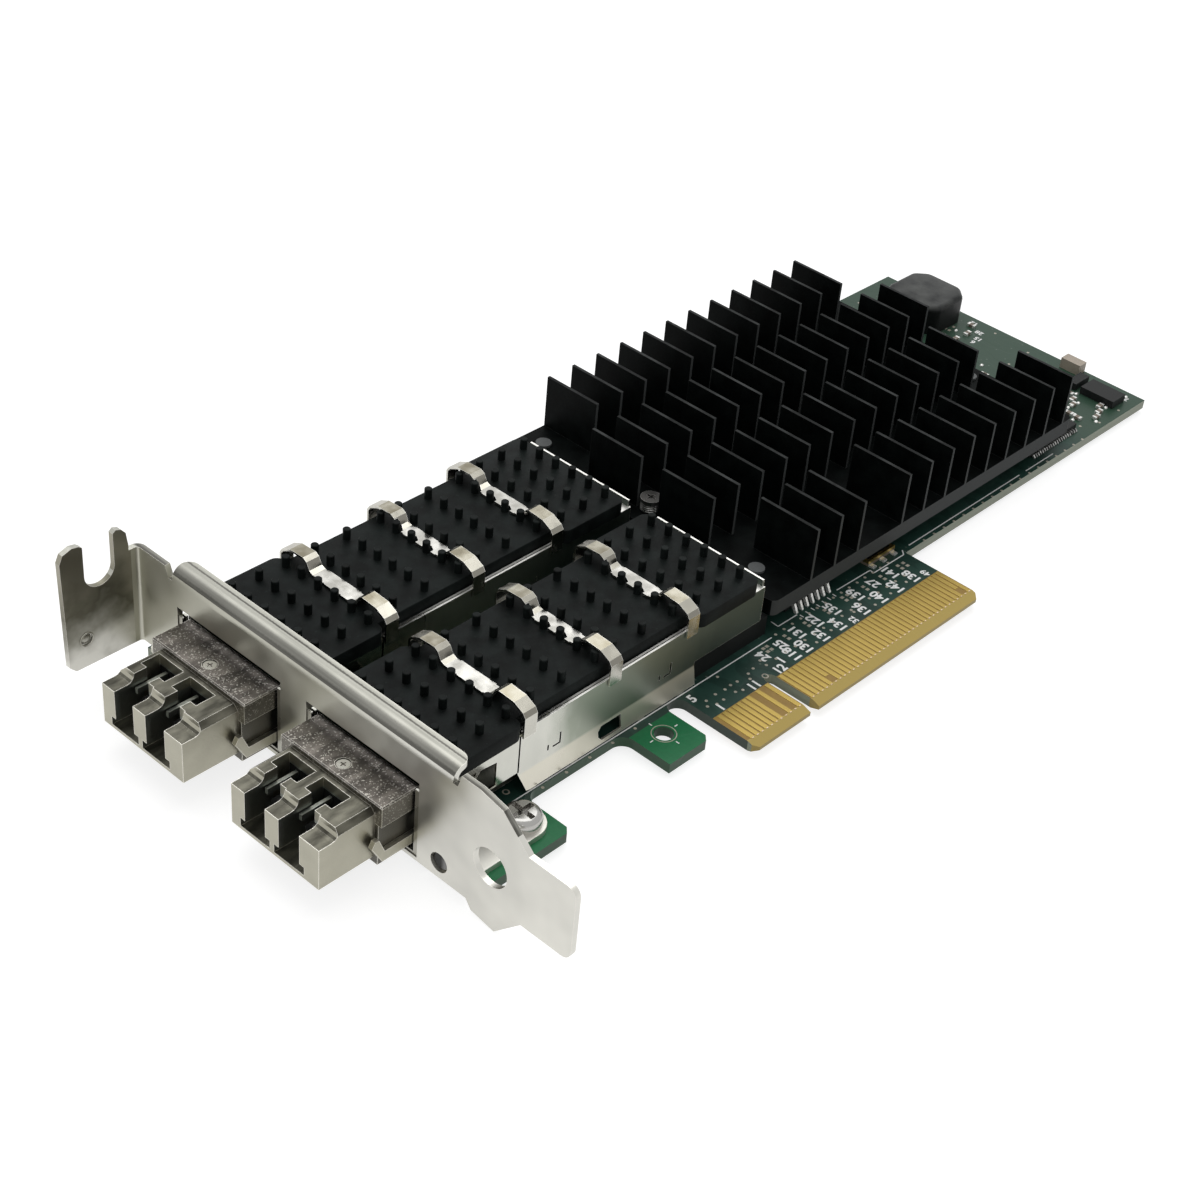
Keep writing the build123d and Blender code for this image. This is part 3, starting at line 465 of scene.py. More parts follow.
def gold_finish():
    """Hard gold with fine drag marks from plugging in."""
    board, _, _ = settings()
    gold = board.gold
    finish = Finish("contact_gold", gold, 1.0, 0.34)
    drag = finish.noise(0.25 * MM, 4.0, (1, 0.08, 1))
    cloud = finish.noise(4 * MM, 2.0)
    base = finish.tones(drag, gold, 0.82, 1.2)
    finish.colour(finish.mix(finish.times(cloud, 0.35), base, (0.31, 0.225, 0.07)))
    finish.roughness(drag, 0.3, 0.48)
    finish.bump(drag, 0.01 * MM, 0.4)
    return finish.material


def gold_end_finish():
    """Bare ends of the contacts' plating bars, pale and rough."""
    finish = Finish("contact_ends", (0.8, 0.62, 0.42), 0.3, 0.5)
    finish.colour(finish.mix(finish.noise(0.6 * MM), (0.62, 0.42, 0.22), (0.95, 0.78, 0.62)))
    return finish.material


def bracket_finish():
    """Plated sheet: cloudy, with painted brown shade and reflection around the ports, painted light and
    shade on the tab, painted highlight and reflection bands along the streaked flange, and a painted
    highlight along its edges.
    """
    _, metal, _ = settings()
    plate = metal.bracket
    finish = Finish("bracket_plate", plate, 1.0, 0.34)
    x, y, z = finish.axis("X"), finish.axis("Y"), finish.axis("Z")
    cloud = finish.patches(0.35, 0.65, 9 * MM, 2.0)
    base = finish.tones(cloud, plate, 0.86, 1.08)
    # Painted shade and reflection around the ports, browner from 14 mm across the card on
    far = finish.steps(finish.times(y, 10.0), ((0.14, 0.0), (0.34, 0.55), (0.66, 0.6)))
    base = finish.mix(far, base, (0.335, 0.33, 0.255))
    # Painted light and shade on the screw tab: pale low down and dark at mid height, with a cloudy border
    height = finish.plus(finish.times(z, 40.0), finish.times(finish.noise(5 * MM), 0.7))
    tab = finish.steps(
        height, ((0.45, (0.60, 0.59, 0.54)), (0.78, (0.145, 0.14, 0.105)), (1.0, (0.30, 0.285, 0.23))),
    )
    base = finish.mix(finish.below(x, SCREW_TAB_X * MM), base, tab)
    # About 0.1 at the flange's rear edge and 1 over its bend
    across = finish.plus(finish.times(x, -250.0), -14.23)
    across = finish.plus(across, finish.times(finish.noise(0.3 * MM), 0.05))
    # Painted highlight over the flange's bend and painted dark reflection lines across its top
    flange_reflections = finish.steps(
        across,
        (
            (0.12, 0.40), (0.26, 0.30), (0.29, 0.02), (0.33, 0.02), (0.36, 0.30), (0.58, 0.24),
            (0.66, 0.17), (0.78, 0.13), (0.82, 0.02), (0.90, 0.02), (0.94, 0.26), (1.0, 0.46),
        ),
    )
    streaks = finish.patches(0.3, 0.7, 0.5 * MM, 4.0, (1, 0.02, 0.3))
    streaked = finish.mix(streaks, (0.14, 0.137, 0.12), (0.42, 0.41, 0.37))
    flange_reflections = finish.mix(flange_reflections, (0.0, 0.0, 0.0), (1.12, 1.12, 1.0))
    # The flange's top: these painted reflections mixed with streaks
    top = finish.mix(0.35, flange_reflections, streaked)
    flange = finish.times(finish.above(finish.facing("Z"), 0.45), finish.above(z, FLANGE_Z * MM))
    base = finish.mix(flange, base, top)
    # Painted highlight along the edges, with some wear
    finish.colour(finish.worn(base, 0.1 * MM, 0.8, (0.78, 0.76, 0.70)))
    finish.roughness(cloud, 0.3, 0.46)
    finish.bump(finish.noise(0.35 * MM, 5.0, (1, 1, 0.07)), 0.008 * MM, 0.35)
    return finish.material


def sheet_finish(name, colour, roughness, top):
    """Bright sheet: faint rolling grain, painted light and shade in a tone of its own on top, wear and a
    painted highlight along the edges.
    """
    finish = Finish(name, colour, 1.0, roughness)
    cloud = finish.noise(6 * MM, 2.0)
    rolled = finish.noise(0.3 * MM, 5.0, (1, 0.07, 1))
    base = finish.tones(cloud, colour, 0.88, 1.08)
    # Painted light and shade: up-facing faces take the top tone
    base = finish.mix(finish.above(finish.facing("Z"), 0.55), base, top)
    # Painted highlight along the edges, with some wear
    finish.colour(finish.worn(base, 0.07 * MM, 0.9, (0.85, 0.84, 0.80)))
    finish.roughness(rolled, roughness * 0.75, roughness * 1.3)
    finish.bump(rolled, 0.008 * MM, 0.35)
    return finish.material


def clip_finish():
    """Spring steel: bright low strap, tan-tinted hump tops, painted shade on the sloping faces, wear and a
    painted highlight along the edges.
    """
    finish = Finish("clip_steel", (0.56, 0.55, 0.50), 1.0, 0.2)
    z, up = finish.axis("Z"), finish.facing("Z")
    cloud = finish.patches(0.35, 0.65, 2.6 * MM, 2.0)
    tan = finish.mix(cloud, (0.27, 0.245, 0.18), (0.42, 0.40, 0.33))
    low = finish.mix(cloud, (0.50, 0.49, 0.45), (0.68, 0.67, 0.63))
    hump = finish.above(z, HUMP_Z * MM)
    # Painted light and shade by slope: darker on the sloping faces, brighter on the sides
    slope_shade = finish.steps(
        up,
        (
            (0.1, (0.50, 0.49, 0.44)), (0.35, (0.24, 0.23, 0.20)),
            (0.7, (0.20, 0.19, 0.16)), (0.9, (0.42, 0.405, 0.35)),
        ),
    )
    flat = finish.above(up, 0.93)
    base = finish.mix(flat, slope_shade, finish.mix(hump, low, tan))
    # Painted highlight along the edges, with some wear
    finish.colour(finish.worn(base, 0.12 * MM, 0.95, EDGE_HIGHLIGHT))
    finish.roughness(cloud, 0.14, 0.3)
    finish.bump(finish.noise(0.3 * MM, 5.0, (1, 0.07, 1)), 0.008 * MM, 0.35)
    return finish.material


def cage_finish():
    """Cage sheet: mirror-like, with a painted dark green-grey reflection of the board towards the rear, a
    painted highlight at its flared foot and on its lip, wear and a painted highlight along the edges.
    """
    _, metal, _ = settings()
    sheet = metal.cage
    finish = Finish("cage_plate", sheet, 1.0, 0.2)
    x, z = finish.axis("X"), finish.axis("Z")
    cloud = finish.noise(3 * MM, 3.0, (1, 1, 0.5))
    base = finish.tones(cloud, sheet, 0.9, 1.1)
    # Painted reflection of the green board, darker from about -35 mm along the card on
    shift = finish.plus(finish.times(x, 18.0), finish.times(cloud, 0.12))
    shift = finish.plus(shift, 0.9)
    rear = finish.steps(shift, ((0.28, 0.0), (0.37, 0.88), (0.9, 1.0)))
    board_reflection = finish.steps(shift, ((0.42, (0.28, 0.31, 0.25)), (0.86, (0.094, 0.118, 0.1))))
    base = finish.mix(rear, base, board_reflection)
    # Painted highlight on the flared foot, which lies below 3.1 mm
    foot = finish.steps(finish.times(z, 100.0), ((0.31, 1.0), (0.35, 0.0)))
    base = finish.mix(finish.times(foot, 0.75), base, (0.62, 0.59, 0.50))
    # Painted highlight on the upward-facing lip above 8 mm
    lip_highlight = finish.times(finish.above(finish.facing("Z"), 0.7), finish.above(z, CAGE_LIP_Z * MM))
    base = finish.mix(lip_highlight, base, (0.84, 0.83, 0.79))
    # Painted highlight along the edges, with some wear
    finish.colour(finish.worn(base, 0.12 * MM, 0.9, EDGE_HIGHLIGHT))
    finish.roughness(rear, 0.16, 0.45)
    finish.bump(finish.noise(0.3 * MM, 5.0, (1, 1, 0.07)), 0.006 * MM, 0.3)
    return finish.material


def casting_finish(name, colour, top, grain, depth, speck, sockets):
    """Plated die casting: pebbled skin, tops with painted streaky reflections, some specks, wear and a
    painted highlight along the edges, painted grey shade in the sockets.
    """
    finish = Finish(name, colour, 1.0, 0.36)
    pebble = finish.noise(grain, 4.0)
    cloud = finish.noise(3.5 * MM, 2.0)
    base = finish.tones(cloud, colour, 0.85, 1.12)
    # Painted reflection on the up-facing faces: streaks in the top tone
    reflection_streak = finish.patches(0.35, 0.68, 1.4 * MM, 3.0, (0.35, 1, 1))
    top_reflection = finish.tones(reflection_streak, top, 0.6, 1.7)
    base = finish.mix(finish.above(finish.facing("Z"), 0.55), base, top_reflection)
    specks = finish.patches(0.61, 0.66, 0.26 * MM, 1.0)
    base = finish.mix(finish.times(specks, speck), base, (0.56, 0.54, 0.49))
    # Painted highlight along the edges, with some wear
    base = finish.worn(base, 0.16 * MM, 1.0, (0.85, 0.83, 0.76))
    x, y, z = finish.axis("X"), finish.axis("Y"), finish.axis("Z")
    # Painted shade on the walls inside the ports' sockets
    aside = finish.math("ABSOLUTE", finish.math("SUBTRACT", y, PORT_MIDDLE * MM))
    aside = finish.math("ABSOLUTE", finish.math("SUBTRACT", aside, PORT_OFFSET * MM))
    low, high = SOCKET_Z
    inside = finish.times(finish.between(z, low * MM, high * MM), finish.below(aside, SOCKET_HALF * MM))
    inside = finish.times(inside, finish.above(x, SOCKET_FRONT * MM))
    finish.colour(finish.mix(finish.times(inside, sockets), base, (0.33, 0.35, 0.32)))
    finish.roughness(pebble, 0.28, 0.46)
    finish.bump(pebble, depth, 0.8)
    return finish.material


def dyed_finish(name, colour, speck, level, edge_grey, fin_highlight_grey=None):
    """Black dyed metal: satin, dusty, wear and a painted grey highlight along its edges, a painted grey
    highlight on the fins' tops and ends.
    """
    finish = Finish(name, colour, 0.0, 0.5)
    finish.dull(level)
    grain = finish.noise(speck, 4.0)
    cloud = finish.patches(0.35, 0.68, 2.6 * MM)
    base = finish.tones(cloud, colour, 0.7, 2.2)
    dust = finish.patches(0.66, 0.74, 0.5 * MM, 2.0)
    base = finish.mix(finish.times(dust, 0.25), base, tone(colour, 7))
    if fin_highlight_grey:
        # Painted highlight on the fins' top faces and ends, patchy in strength
        tops = finish.above(finish.axis("Z"), FIN_TOP_Z * MM)
        upper = finish.times(finish.above(finish.facing("Z"), 0.5), tops)
        ends = finish.above(finish.facing("Y"), 0.5)
        worn = finish.patches(0.45, 0.68, 5 * MM)
        cut = finish.tones(worn, fin_highlight_grey, 0.5, 1.5)
        base = finish.mix(ends, finish.mix(upper, base, cut), tone(fin_highlight_grey, 2.0))
    # Painted highlight along the edges, with some wear
    finish.colour(finish.worn(base, 0.1 * MM, 0.85, edge_grey))
    finish.roughness(grain, 0.4, 0.62)
    finish.bump(grain, 0.02 * MM, 0.4)
    return finish.material


def plastic_finish(name, colour, roughness, level=0.5):
    """Moulded plastic or chip compound with a fine matt grain."""
    finish = Finish(name, colour, 0.0, roughness)
    finish.dull(level)
    speck = finish.noise(0.3 * MM, 4.0)
    cloud = finish.noise(4 * MM, 2.0)
    pale = [min(1.0, c * 1.6 + 0.002) for c in colour]
    base = finish.mix(speck, colour, pale)
    finish.colour(finish.mix(finish.times(cloud, 0.5), base, tone(colour, 0.5)))
    finish.roughness(speck, roughness * 0.85, min(1.0, roughness * 1.2))
    finish.bump(speck, 0.03 * MM, 0.4)
    return finish.material


def inductor_finish():
    """Moulded ferrite block: a painted smeared sheen on the grey top and painted shade on the darker sides.
    """
    finish = Finish("inductor_mould", (0.03, 0.032, 0.032), 0.0, 0.4)
    finish.dull(0.14)
    # Painted sheen on the top and painted shade on the sides
    sheen_smear = finish.patches(0.36, 0.62, 4 * MM, 5.0)
    top = finish.mix(sheen_smear, (0.020, 0.022, 0.022), (0.085, 0.088, 0.085))
    side = finish.mix(finish.noise(2 * MM), (0.003, 0.0035, 0.0035), (0.010, 0.011, 0.011))
    finish.colour(finish.mix(finish.facing("Z"), side, top))
    finish.roughness(sheen_smear, 0.32, 0.5)
    finish.bump(finish.noise(0.5 * MM, 4.0), 0.03 * MM, 0.4)
    return finish.material


def solder_finish(name, low, high):
    """Solder or tinned leads, uneven between two greys."""
    finish = Finish(name, (high, high, high), 0.55, 0.22)
    cloud = finish.noise(0.6 * MM)
    blotch = finish.steps(cloud, ((0.35, 0.0), (0.65, 1.0)))
    finish.colour(finish.mix(blotch, (low, low, low * 0.96), (high, high, high * 0.97)))
    finish.roughness(cloud, 0.15, 0.38)
    finish.bump(cloud, 0.05 * MM, 0.5)
    return finish.material


def ink_finish():
    """White printed ink, a little worn."""
    board, _, _ = settings()
    ink = board.ink
    finish = Finish("white_ink", ink, 0.0, 0.55)
    speck = finish.noise(0.25 * MM, 4.0)
    finish.colour(finish.tones(speck, ink, 0.75, 1.15))
    finish.bump(speck, 0.01 * MM, 0.5)
    return finish.material


def ring_finish():
    """Tinned copper seen through thin mask around the board's small holes."""
    finish = Finish("hole_rings", (0.30, 0.33, 0.29), 0.0, 0.4)
    finish.colour(finish.mix(finish.noise(1.1 * MM), (0.20, 0.19, 0.15), (0.62, 0.57, 0.48)))
    return finish.material


def lens_finish():
    """Smoky clear plastic of the light guide, with painted light on one side and painted shade on the
    other.
    """
    finish = Finish("clear_guide", (0.2, 0.2, 0.19), 0.0, 0.2)
    finish.dull(0.15)
    # Painted light before 10.1 mm across the card, painted shade past 10.7 mm
    along = finish.plus(finish.times(finish.axis("Y"), 350.0), -3.2)
    lens_light_and_shade = finish.steps(along, ((0.33, 0.42), (0.55, 0.02)))
    finish.colour(finish.mix(finish.times(finish.noise(0.5 * MM), 0.3), lens_light_and_shade, (0.10, 0.10, 0.09)))
    return finish.material


# Making pieces


def clear_selection():
    """Leave edit mode and select nothing."""
    if bpy.context.object and bpy.context.object.mode != "OBJECT":
        bpy.ops.object.mode_set(mode="OBJECT")
    bpy.ops.object.select_all(action="DESELECT")


def pick(piece):
    """Select one piece alone and make it active."""
    clear_selection()
    piece.select_set(True)
    bpy.context.view_layer.objects.active = piece


def settle(piece):
    """Put the piece's place into its mesh, so its object sits at the origin."""
    pick(piece)
    bpy.ops.object.transform_apply(location=True, rotation=True, scale=True)
    return piece


def join(pieces, name):
    """Make one piece of several."""
    clear_selection()
    for piece in pieces:
        piece.select_set(True)
    bpy.context.view_layer.objects.active = pieces[0]
    if len(pieces) > 1:
        bpy.ops.object.join()
    whole = bpy.context.object
    whole.name = name
    return settle(whole)


def added(operator, **values):
    """Piece that one of Blender's own operators adds."""
    clear_selection()
    operator(**values)
    return bpy.context.object


def block(x, y, z):
    """Block between low and high values in millimetres."""
    middle = [(low + high) / 2 * MM for low, high in (x, y, z)]
    piece = added(bpy.ops.mesh.primitive_cube_add, size=1, location=middle)
    piece.scale = [(high - low) * MM for low, high in (x, y, z)]
    return settle(piece)


def stud(x, y, z, radius, sides=16):
    """Upright round post, in millimetres."""
    return settle(added(
        bpy.ops.mesh.primitive_cylinder_add, vertices=sides, radius=radius * MM, depth=(z[1] - z[0]) * MM,
        location=(x * MM, y * MM, (z[0] + z[1]) / 2 * MM),
    ))


def patch(x, y, z=FILM):
    """Flat printed patch just over the board, in millimetres."""
    middle = (sum(x) / 2 * MM, sum(y) / 2 * MM, z * MM)
    piece = added(bpy.ops.mesh.primitive_plane_add, size=1, location=middle)
    piece.scale = ((x[1] - x[0]) * MM, (y[1] - y[0]) * MM, 1)
    return settle(piece)


def round_edges(piece, chosen, width, segments):
    """Bevel the edges whose two ends pass a test, given in millimetres."""
    corners = [vertex.co / MM for vertex in piece.data.vertices]
    pick(piece)
    bpy.ops.object.mode_set(mode="EDIT")
    bpy.ops.mesh.select_mode(type="EDGE")
    bpy.ops.mesh.select_all(action="DESELECT")
    bpy.ops.object.mode_set(mode="OBJECT")
    for edge in piece.data.edges:
        edge.select = chosen(corners[edge.vertices[0]], corners[edge.vertices[1]])
    bpy.ops.object.mode_set(mode="EDIT")
    bpy.ops.mesh.bevel(offset=width * MM, segments=segments, affect="EDGES")
    bpy.ops.object.mode_set(mode="OBJECT")
    return piece


def upright(a, b):
    """Whether an edge stands upright."""
    return abs(a.z - b.z) > 1


def over(a, b, top):
    """Whether both ends of an edge lie at a top height."""
    return min(a.z, b.z) > top - 0.01


def apply(piece, kind, **values):
    """Add a modifier with its values and apply it."""
    pick(piece)
    step = piece.modifiers.new(kind.lower(), kind)
    for name, value in values.items():
        setattr(step, name, value)
    bpy.ops.object.modifier_apply(modifier=step.name)
    return piece


def combine(piece, tool, operation):
    """Cut one piece with another, or fuse them, and drop the tool."""
    apply(piece, "BOOLEAN", operation=operation, object=tool, solver="EXACT")
    bpy.data.objects.remove(tool)
    return piece


def smooth(piece, angle=35):
    """Shade a new piece smoothly over its round faces."""
    pick(piece)
    bpy.ops.object.shade_smooth_by_angle(angle=math.radians(angle))


def copy_at(piece, x, y):
    """Copy of a piece moved by millimetres, with its own mesh."""
    twin = piece.copy()
    twin.data = piece.data.copy()
    twin.location = Vector((x, y, 0)) * MM
    bpy.context.scene.collection.objects.link(twin)
    return twin


def spread(piece, spots, name):
    """One piece made of copies of a pattern at many spots."""
    copies = [copy_at(piece, *spot) for spot in spots]
    bpy.data.objects.remove(piece)
    return join(copies, name)


def dress(piece, material):
    """Give a new piece its finish and its body."""
    piece.data.materials.clear()
    piece.data.materials.append(material)
    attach(piece, "root")


def coat(material, *names):
    """Give CAD nodes a finish."""
    for name in names:
        mesh = NODES[name].data
        if not mesh.materials:
            mesh.materials.append(material)
        for place in range(len(mesh.materials)):
            mesh.materials[place] = material


# Printed marks


def printed_line(start, end, width):
    """Straight printed line between two points, in millimetres."""
    run, rise = end[0] - start[0], end[1] - start[1]
    piece = patch((-math.hypot(run, rise) / 2, math.hypot(run, rise) / 2), (-width / 2, width / 2), 0)
    piece.rotation_euler = Euler((0, 0, math.atan2(rise, run)))
    piece.location = Vector(((start[0] + end[0]) / 2, (start[1] + end[1]) / 2, FILM)) * MM
    return settle(piece)


def printed_number(digits, x, y, turn, height):
    """Plain printed number with its first digit's foot at a point, in millimetres."""
    piece = added(bpy.ops.object.text_add)
    piece.data.body = digits
    piece.data.size = height * MM
    piece.data.resolution_u = 3
    piece.data.offset = DIGIT_WEIGHT * height * MM
    bpy.ops.object.convert(target="MESH")
    piece = bpy.context.object
    piece.rotation_euler = Euler((0, 0, math.radians(turn)))
    piece.location = Vector((x, y, FILM)) * MM
    return settle(piece)


def ring(radius, thickness, sides=20):
    """Flat ring lying on the board, in millimetres."""
    piece = added(
        bpy.ops.mesh.primitive_torus_add,
        major_segments=sides, minor_segments=6, major_radius=radius * MM, minor_radius=thickness * MM,
    )
    piece.scale = (1, 1, 0.3)
    return settle(piece)


def make_prints():
    """White lines, numbers, lands and hole rings on the component side."""
    board, _, _ = settings()
    ink = ink_finish()
    width = board.print_width / MM
    runs = [printed_line(a, b, width) for path in PRINTED_PATHS for a, b in zip(path, path[1:])]
    runs += [patch((x, x + TICK_WIDTH), TICK_Y) for x in LEAD_TICKS]
    x, y, reach = TAB_HOLE
    long, short = MARK_HALF
    for side in (-reach, reach):
        runs.append(patch((x + side - long, x + side + long), (y - short, y + short)))
        runs.append(patch((x - short, x + short), (y + side - long, y + side + long)))
    dress(join(runs, "printed_lines"), ink)
    height = board.digit_height / MM
    numbers = [printed_number(*row, height) for row in NUMBERS]
    numbers += [printed_number(*row, height * SMALL_DIGITS) for row in SMALL_NUMBERS]
    dress(join(numbers, "printed_numbers"), ink)
    tinned = ring_finish()
    dress(spread(ring(0.13, 0.11, 12), VIAS, "hole_rings"), tinned)
    tests = spread(ring(0.42, 0.1), RING_VIAS, "test_holes")
    tab_ring = spread(ring(1.72, 0.07, 40), [TAB_HOLE[:2]], "tab_hole")
    dress(join([tests, tab_ring], "wide_rings"), tinned)
    ends = [patch((x - END_HALF, x + END_HALF), END_Y, GOLD_TOP) for x in CONTACT_XS]
    dress(join(ends, "contact_ends"), gold_end_finish())
    lands = [
        patch((x - LAND_HALF, x + LAND_HALF), (y + step, y + step + LAND_HEIGHT))
        for x, y in LANDS for step in LAND_STEPS
    ]
    dress(join(lands, "bare_lands"), tinned)


# Fasteners and coolers


def pan_head(y, dome):
    """Domed screw with a cross recess and its shank through the board."""
    x = EAR_X
    head = stud(x, y, HEAD_Z, HEAD_RADIUS, 40)
    round_edges(head, lambda a, b: over(a, b, HEAD_Z[1]), dome / MM, 6)
    for wide, deep in (RECESS_HALF, RECESS_HALF[::-1]):
        arm = block((x - wide, x + wide), (y - deep, y + deep), RECESS_Z)
        round_edges(arm, upright, 0.1, 2)
        combine(head, arm, "DIFFERENCE")
    smooth(head)
    return [head, stud(x, y, SHANK_Z, SHANK_RADIUS)]


def coil(x, y, low, high, turns):
    """Round-wire spring between two heights, in millimetres."""
    piece = settle(added(
        bpy.ops.mesh.primitive_circle_add, vertices=10, radius=WIRE_RADIUS * MM,
        location=(SPRING_RADIUS * MM, 0, 0), rotation=(math.pi / 2, 0, 0),
    ))
    rise = (high - low - 2 * WIRE_RADIUS) / turns
    apply(piece, "SCREW", axis="Z", iterations=turns, steps=20, render_steps=20, screw_offset=rise * MM)
    piece.location = Vector((x, y, low + WIRE_RADIUS)) * MM
    settle(piece)
    bpy.ops.object.mode_set(mode="EDIT")
    bpy.ops.mesh.select_all(action="SELECT")
    bpy.ops.mesh.normals_make_consistent(inside=False)
    bpy.ops.object.mode_set(mode="OBJECT")
    smooth(piece, 60)
    return piece


def pin_cooler(line, name):
    """Pin cooler with a waisted plate, a pad below and rounded pins."""
    (x0, x1), (n0, n1) = COOLER_X, NECK_X
    z = COOLER_Z
    plate = block((n0 - 2, n1 + 2), (line - NECK_HALF, line + NECK_HALF), z)
    for x in ((x0, n0), (n1, x1)):
        end = block(x, (line - WIDE_HALF, line + WIDE_HALF), z)
        round_edges(end, upright, 1.4, 6)
        combine(plate, end, "UNION")
    # One flat top, so that the bevel follows the outline alone
    bpy.ops.object.mode_set(mode="EDIT")
    bpy.ops.mesh.select_all(action="SELECT")
    bpy.ops.mesh.dissolve_limited(angle_limit=math.radians(1))
    bpy.ops.object.mode_set(mode="OBJECT")
    round_edges(plate, lambda a, b: over(a, b, z[1]), 0.14, 2)
    smooth(plate, 30)
    pad = block(PAD_X, (line - PAD_HALF, line + PAD_HALF), (PAD_LOW, z[0]))
    pin = stud(0, 0, (z[1] - 0.05, PIN_TOP), PIN_RADIUS)
    round_edges(pin, lambda a, b: over(a, b, PIN_TOP), 0.09, 1)
    smooth(pin, 40)
    pins = [
        copy_at(pin, x, line + side * y)
        for rows, lines in PIN_FIELDS for x in rows for y in lines for side in (-1, 1)
    ]
    bpy.data.objects.remove(pin)
    return join([plate, pad, *pins], name)


def solder_blobs():
    """Rounded solder joints of the small parts at the rear corner."""
    blob = added(bpy.ops.mesh.primitive_uv_sphere_add, segments=14, ring_count=8, radius=0.36 * MM)
    blob.scale = (1.15, 0.9, 0.9)
    settle(blob)
    smooth(blob, 60)
    return spread(blob, SOLDER_SPOTS, "solder_blobs")


def moulded_inductor():
    """Inductor with cut corners and soft moulded edges."""
    piece = block(*INDUCTOR)
    round_edges(piece, upright, 2.2, 1)
    round_edges(piece, upright, 0.7, 3)
    round_edges(piece, lambda a, b: over(a, b, INDUCTOR[2][1]), 0.9, 5)
    smooth(piece, 50)
    piece.name = "moulded_inductor"
    return piece


def dimple():
    """Pressed rim and boss in the screw tab of the bracket."""
    place = Vector(DIMPLE) * MM
    rim = settle(added(
        bpy.ops.mesh.primitive_torus_add, major_segments=28, minor_segments=8,
        major_radius=1.0 * MM, minor_radius=0.14 * MM, location=place, rotation=(math.pi / 2, 0, 0),
    ))
    boss = added(bpy.ops.mesh.primitive_uv_sphere_add, segments=24, ring_count=12, radius=0.86 * MM)
    boss.scale = (1, 0.45, 1)
    boss.location = place + Vector((0, 0.45 * MM, 0))
    settle(boss)
    whole = join([rim, boss], "tab_dimple")
    smooth(whole, 60)
    return whole


# Operators


class CARD_OT_board(bpy.types.Operator):
    """Finish the board and its contacts"""

    bl_idname = "card.board"
    bl_label = "Board"

    def execute(self, context):
        coat(board_finish(), "circuit_board", "module_card_left", "module_card_right")
        coat(gold_finish(), "gold_contacts_front", "gold_contacts_back", "oscillator_rim")
        return {"FINISHED"}


class CARD_OT_prints(bpy.types.Operator):
    """Add the printed lines, numbers, hole rings and lands"""

    bl_idname = "card.prints"
    bl_label = "Printed marks"

    def execute(self, context):
        make_prints()
        return {"FINISHED"}


class CARD_OT_metalwork(bpy.types.Operator):
    """Finish the bracket, cages, clips and module castings"""

    bl_idname = "card.metalwork"
    bl_label = "Metalwork"

    def execute(self, context):
        _, metal, _ = settings()
        plate = bracket_finish()
        coat(plate, "bracket")
        dress(dimple(), plate)
        coat(cage_finish(), "cage_left", "cage_right")
        # The last colour is painted light on the collar's up-facing faces
        collar = sheet_finish("collar_sheet", (0.42, 0.41, 0.36), 0.3, (0.5, 0.5, 0.45))
        coat(collar, "collar_left", "collar_right")
        coat(clip_finish(), "clips_left", "clips_right")
        # Columns: name, CAD piece, colour, painted reflection tone of the up-facing faces, grain, depth,
        # speck, strength of the painted socket shade
        castings = (
            ("nose", "module_nose", metal.casting, (0.085, 0.082, 0.066), 0.28, 0.03, 0.0, 0.85),
            ("arm", "latch_arms", metal.casting, (0.5, 0.48, 0.42), 0.28, 0.02, 0.0, 0.0),
            ("lid", "module_lid", (0.16, 0.15, 0.13), metal.lid, 0.22, 0.05, 0.6, 0.0),
            # The body's darker colour is painted shade under the lid
            ("body", "module_body", (0.11, 0.105, 0.09), metal.lid, 0.22, 0.03, 0.0, 0.0),
        )
        for name, piece, colour, top, grain, depth, speck, sockets in castings:
            skin = casting_finish(f"{name}_casting", colour, top, grain * MM, depth * MM, speck, sockets)
            coat(skin, f"{piece}_left", f"{piece}_right")
        return {"FINISHED"}


class CARD_OT_fasteners(bpy.types.Operator):
    """Replace the screws and the spring with rounded ones"""

    bl_idname = "card.fasteners"
    bl_label = "Screws and spring"

    def execute(self, context):
        _, metal, _ = settings()
        # The last colour of each fastener finish is painted shade on its up-facing faces
        bright = sheet_finish("bright_fastener", (0.46, 0.45, 0.43), 0.2, (0.36, 0.355, 0.34))
        worn = sheet_finish("worn_fastener", (0.30, 0.295, 0.28), 0.3, (0.14, 0.137, 0.13))
        coat(sheet_finish("lid_fastener", (0.75, 0.74, 0.71), 0.2, (0.66, 0.65, 0.62)), "lid_screws")
        coat(worn, "sink_screw")
        heads = [part for y in EAR_YS for part in pan_head(y, metal.dome)]
        screws = join(heads, "domed_screws")
        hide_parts("bracket_screws")
        dress(screws, bright)
        spring = coil(*SINK_SCREW, *SPRING_Z, metal.turns)
        spring.name = "coiled_spring"
        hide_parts("sink_spring")
        dress(spring, worn)
        return {"FINISHED"}


class CARD_OT_coolers(bpy.types.Operator):
    """Replace the pin coolers with round-pinned ones and finish the heat sink"""

    bl_idname = "card.coolers"
    bl_label = "Coolers"

    def execute(self, context):
        _, metal, _ = settings()
        dye = metal.dye
        # The last colour is the painted highlight along the edges, with some wear
        black = dyed_finish("cooler_dye", dye, 0.25 * MM, 0.07, (0.018, 0.02, 0.019))
        for side, line in PORT_LINES.items():
            cooler = pin_cooler(line, f"round_pin_cooler_{side}")
            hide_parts(f"cooler_{side}")
            dress(cooler, black)
        # The last two colours are the painted highlights along the edges and on the fins' tops and ends
        sink = dyed_finish(
            "sink_dye", tone(dye, 0.4), 0.4 * MM, 0.04, (0.04, 0.042, 0.042), (0.034, 0.036, 0.036),
        )
        coat(sink, "main_heat_sink")
        coat(plastic_finish("pin_grey", (0.10, 0.105, 0.105), 0.5, 0.2), "sink_pins")
        return {"FINISHED"}


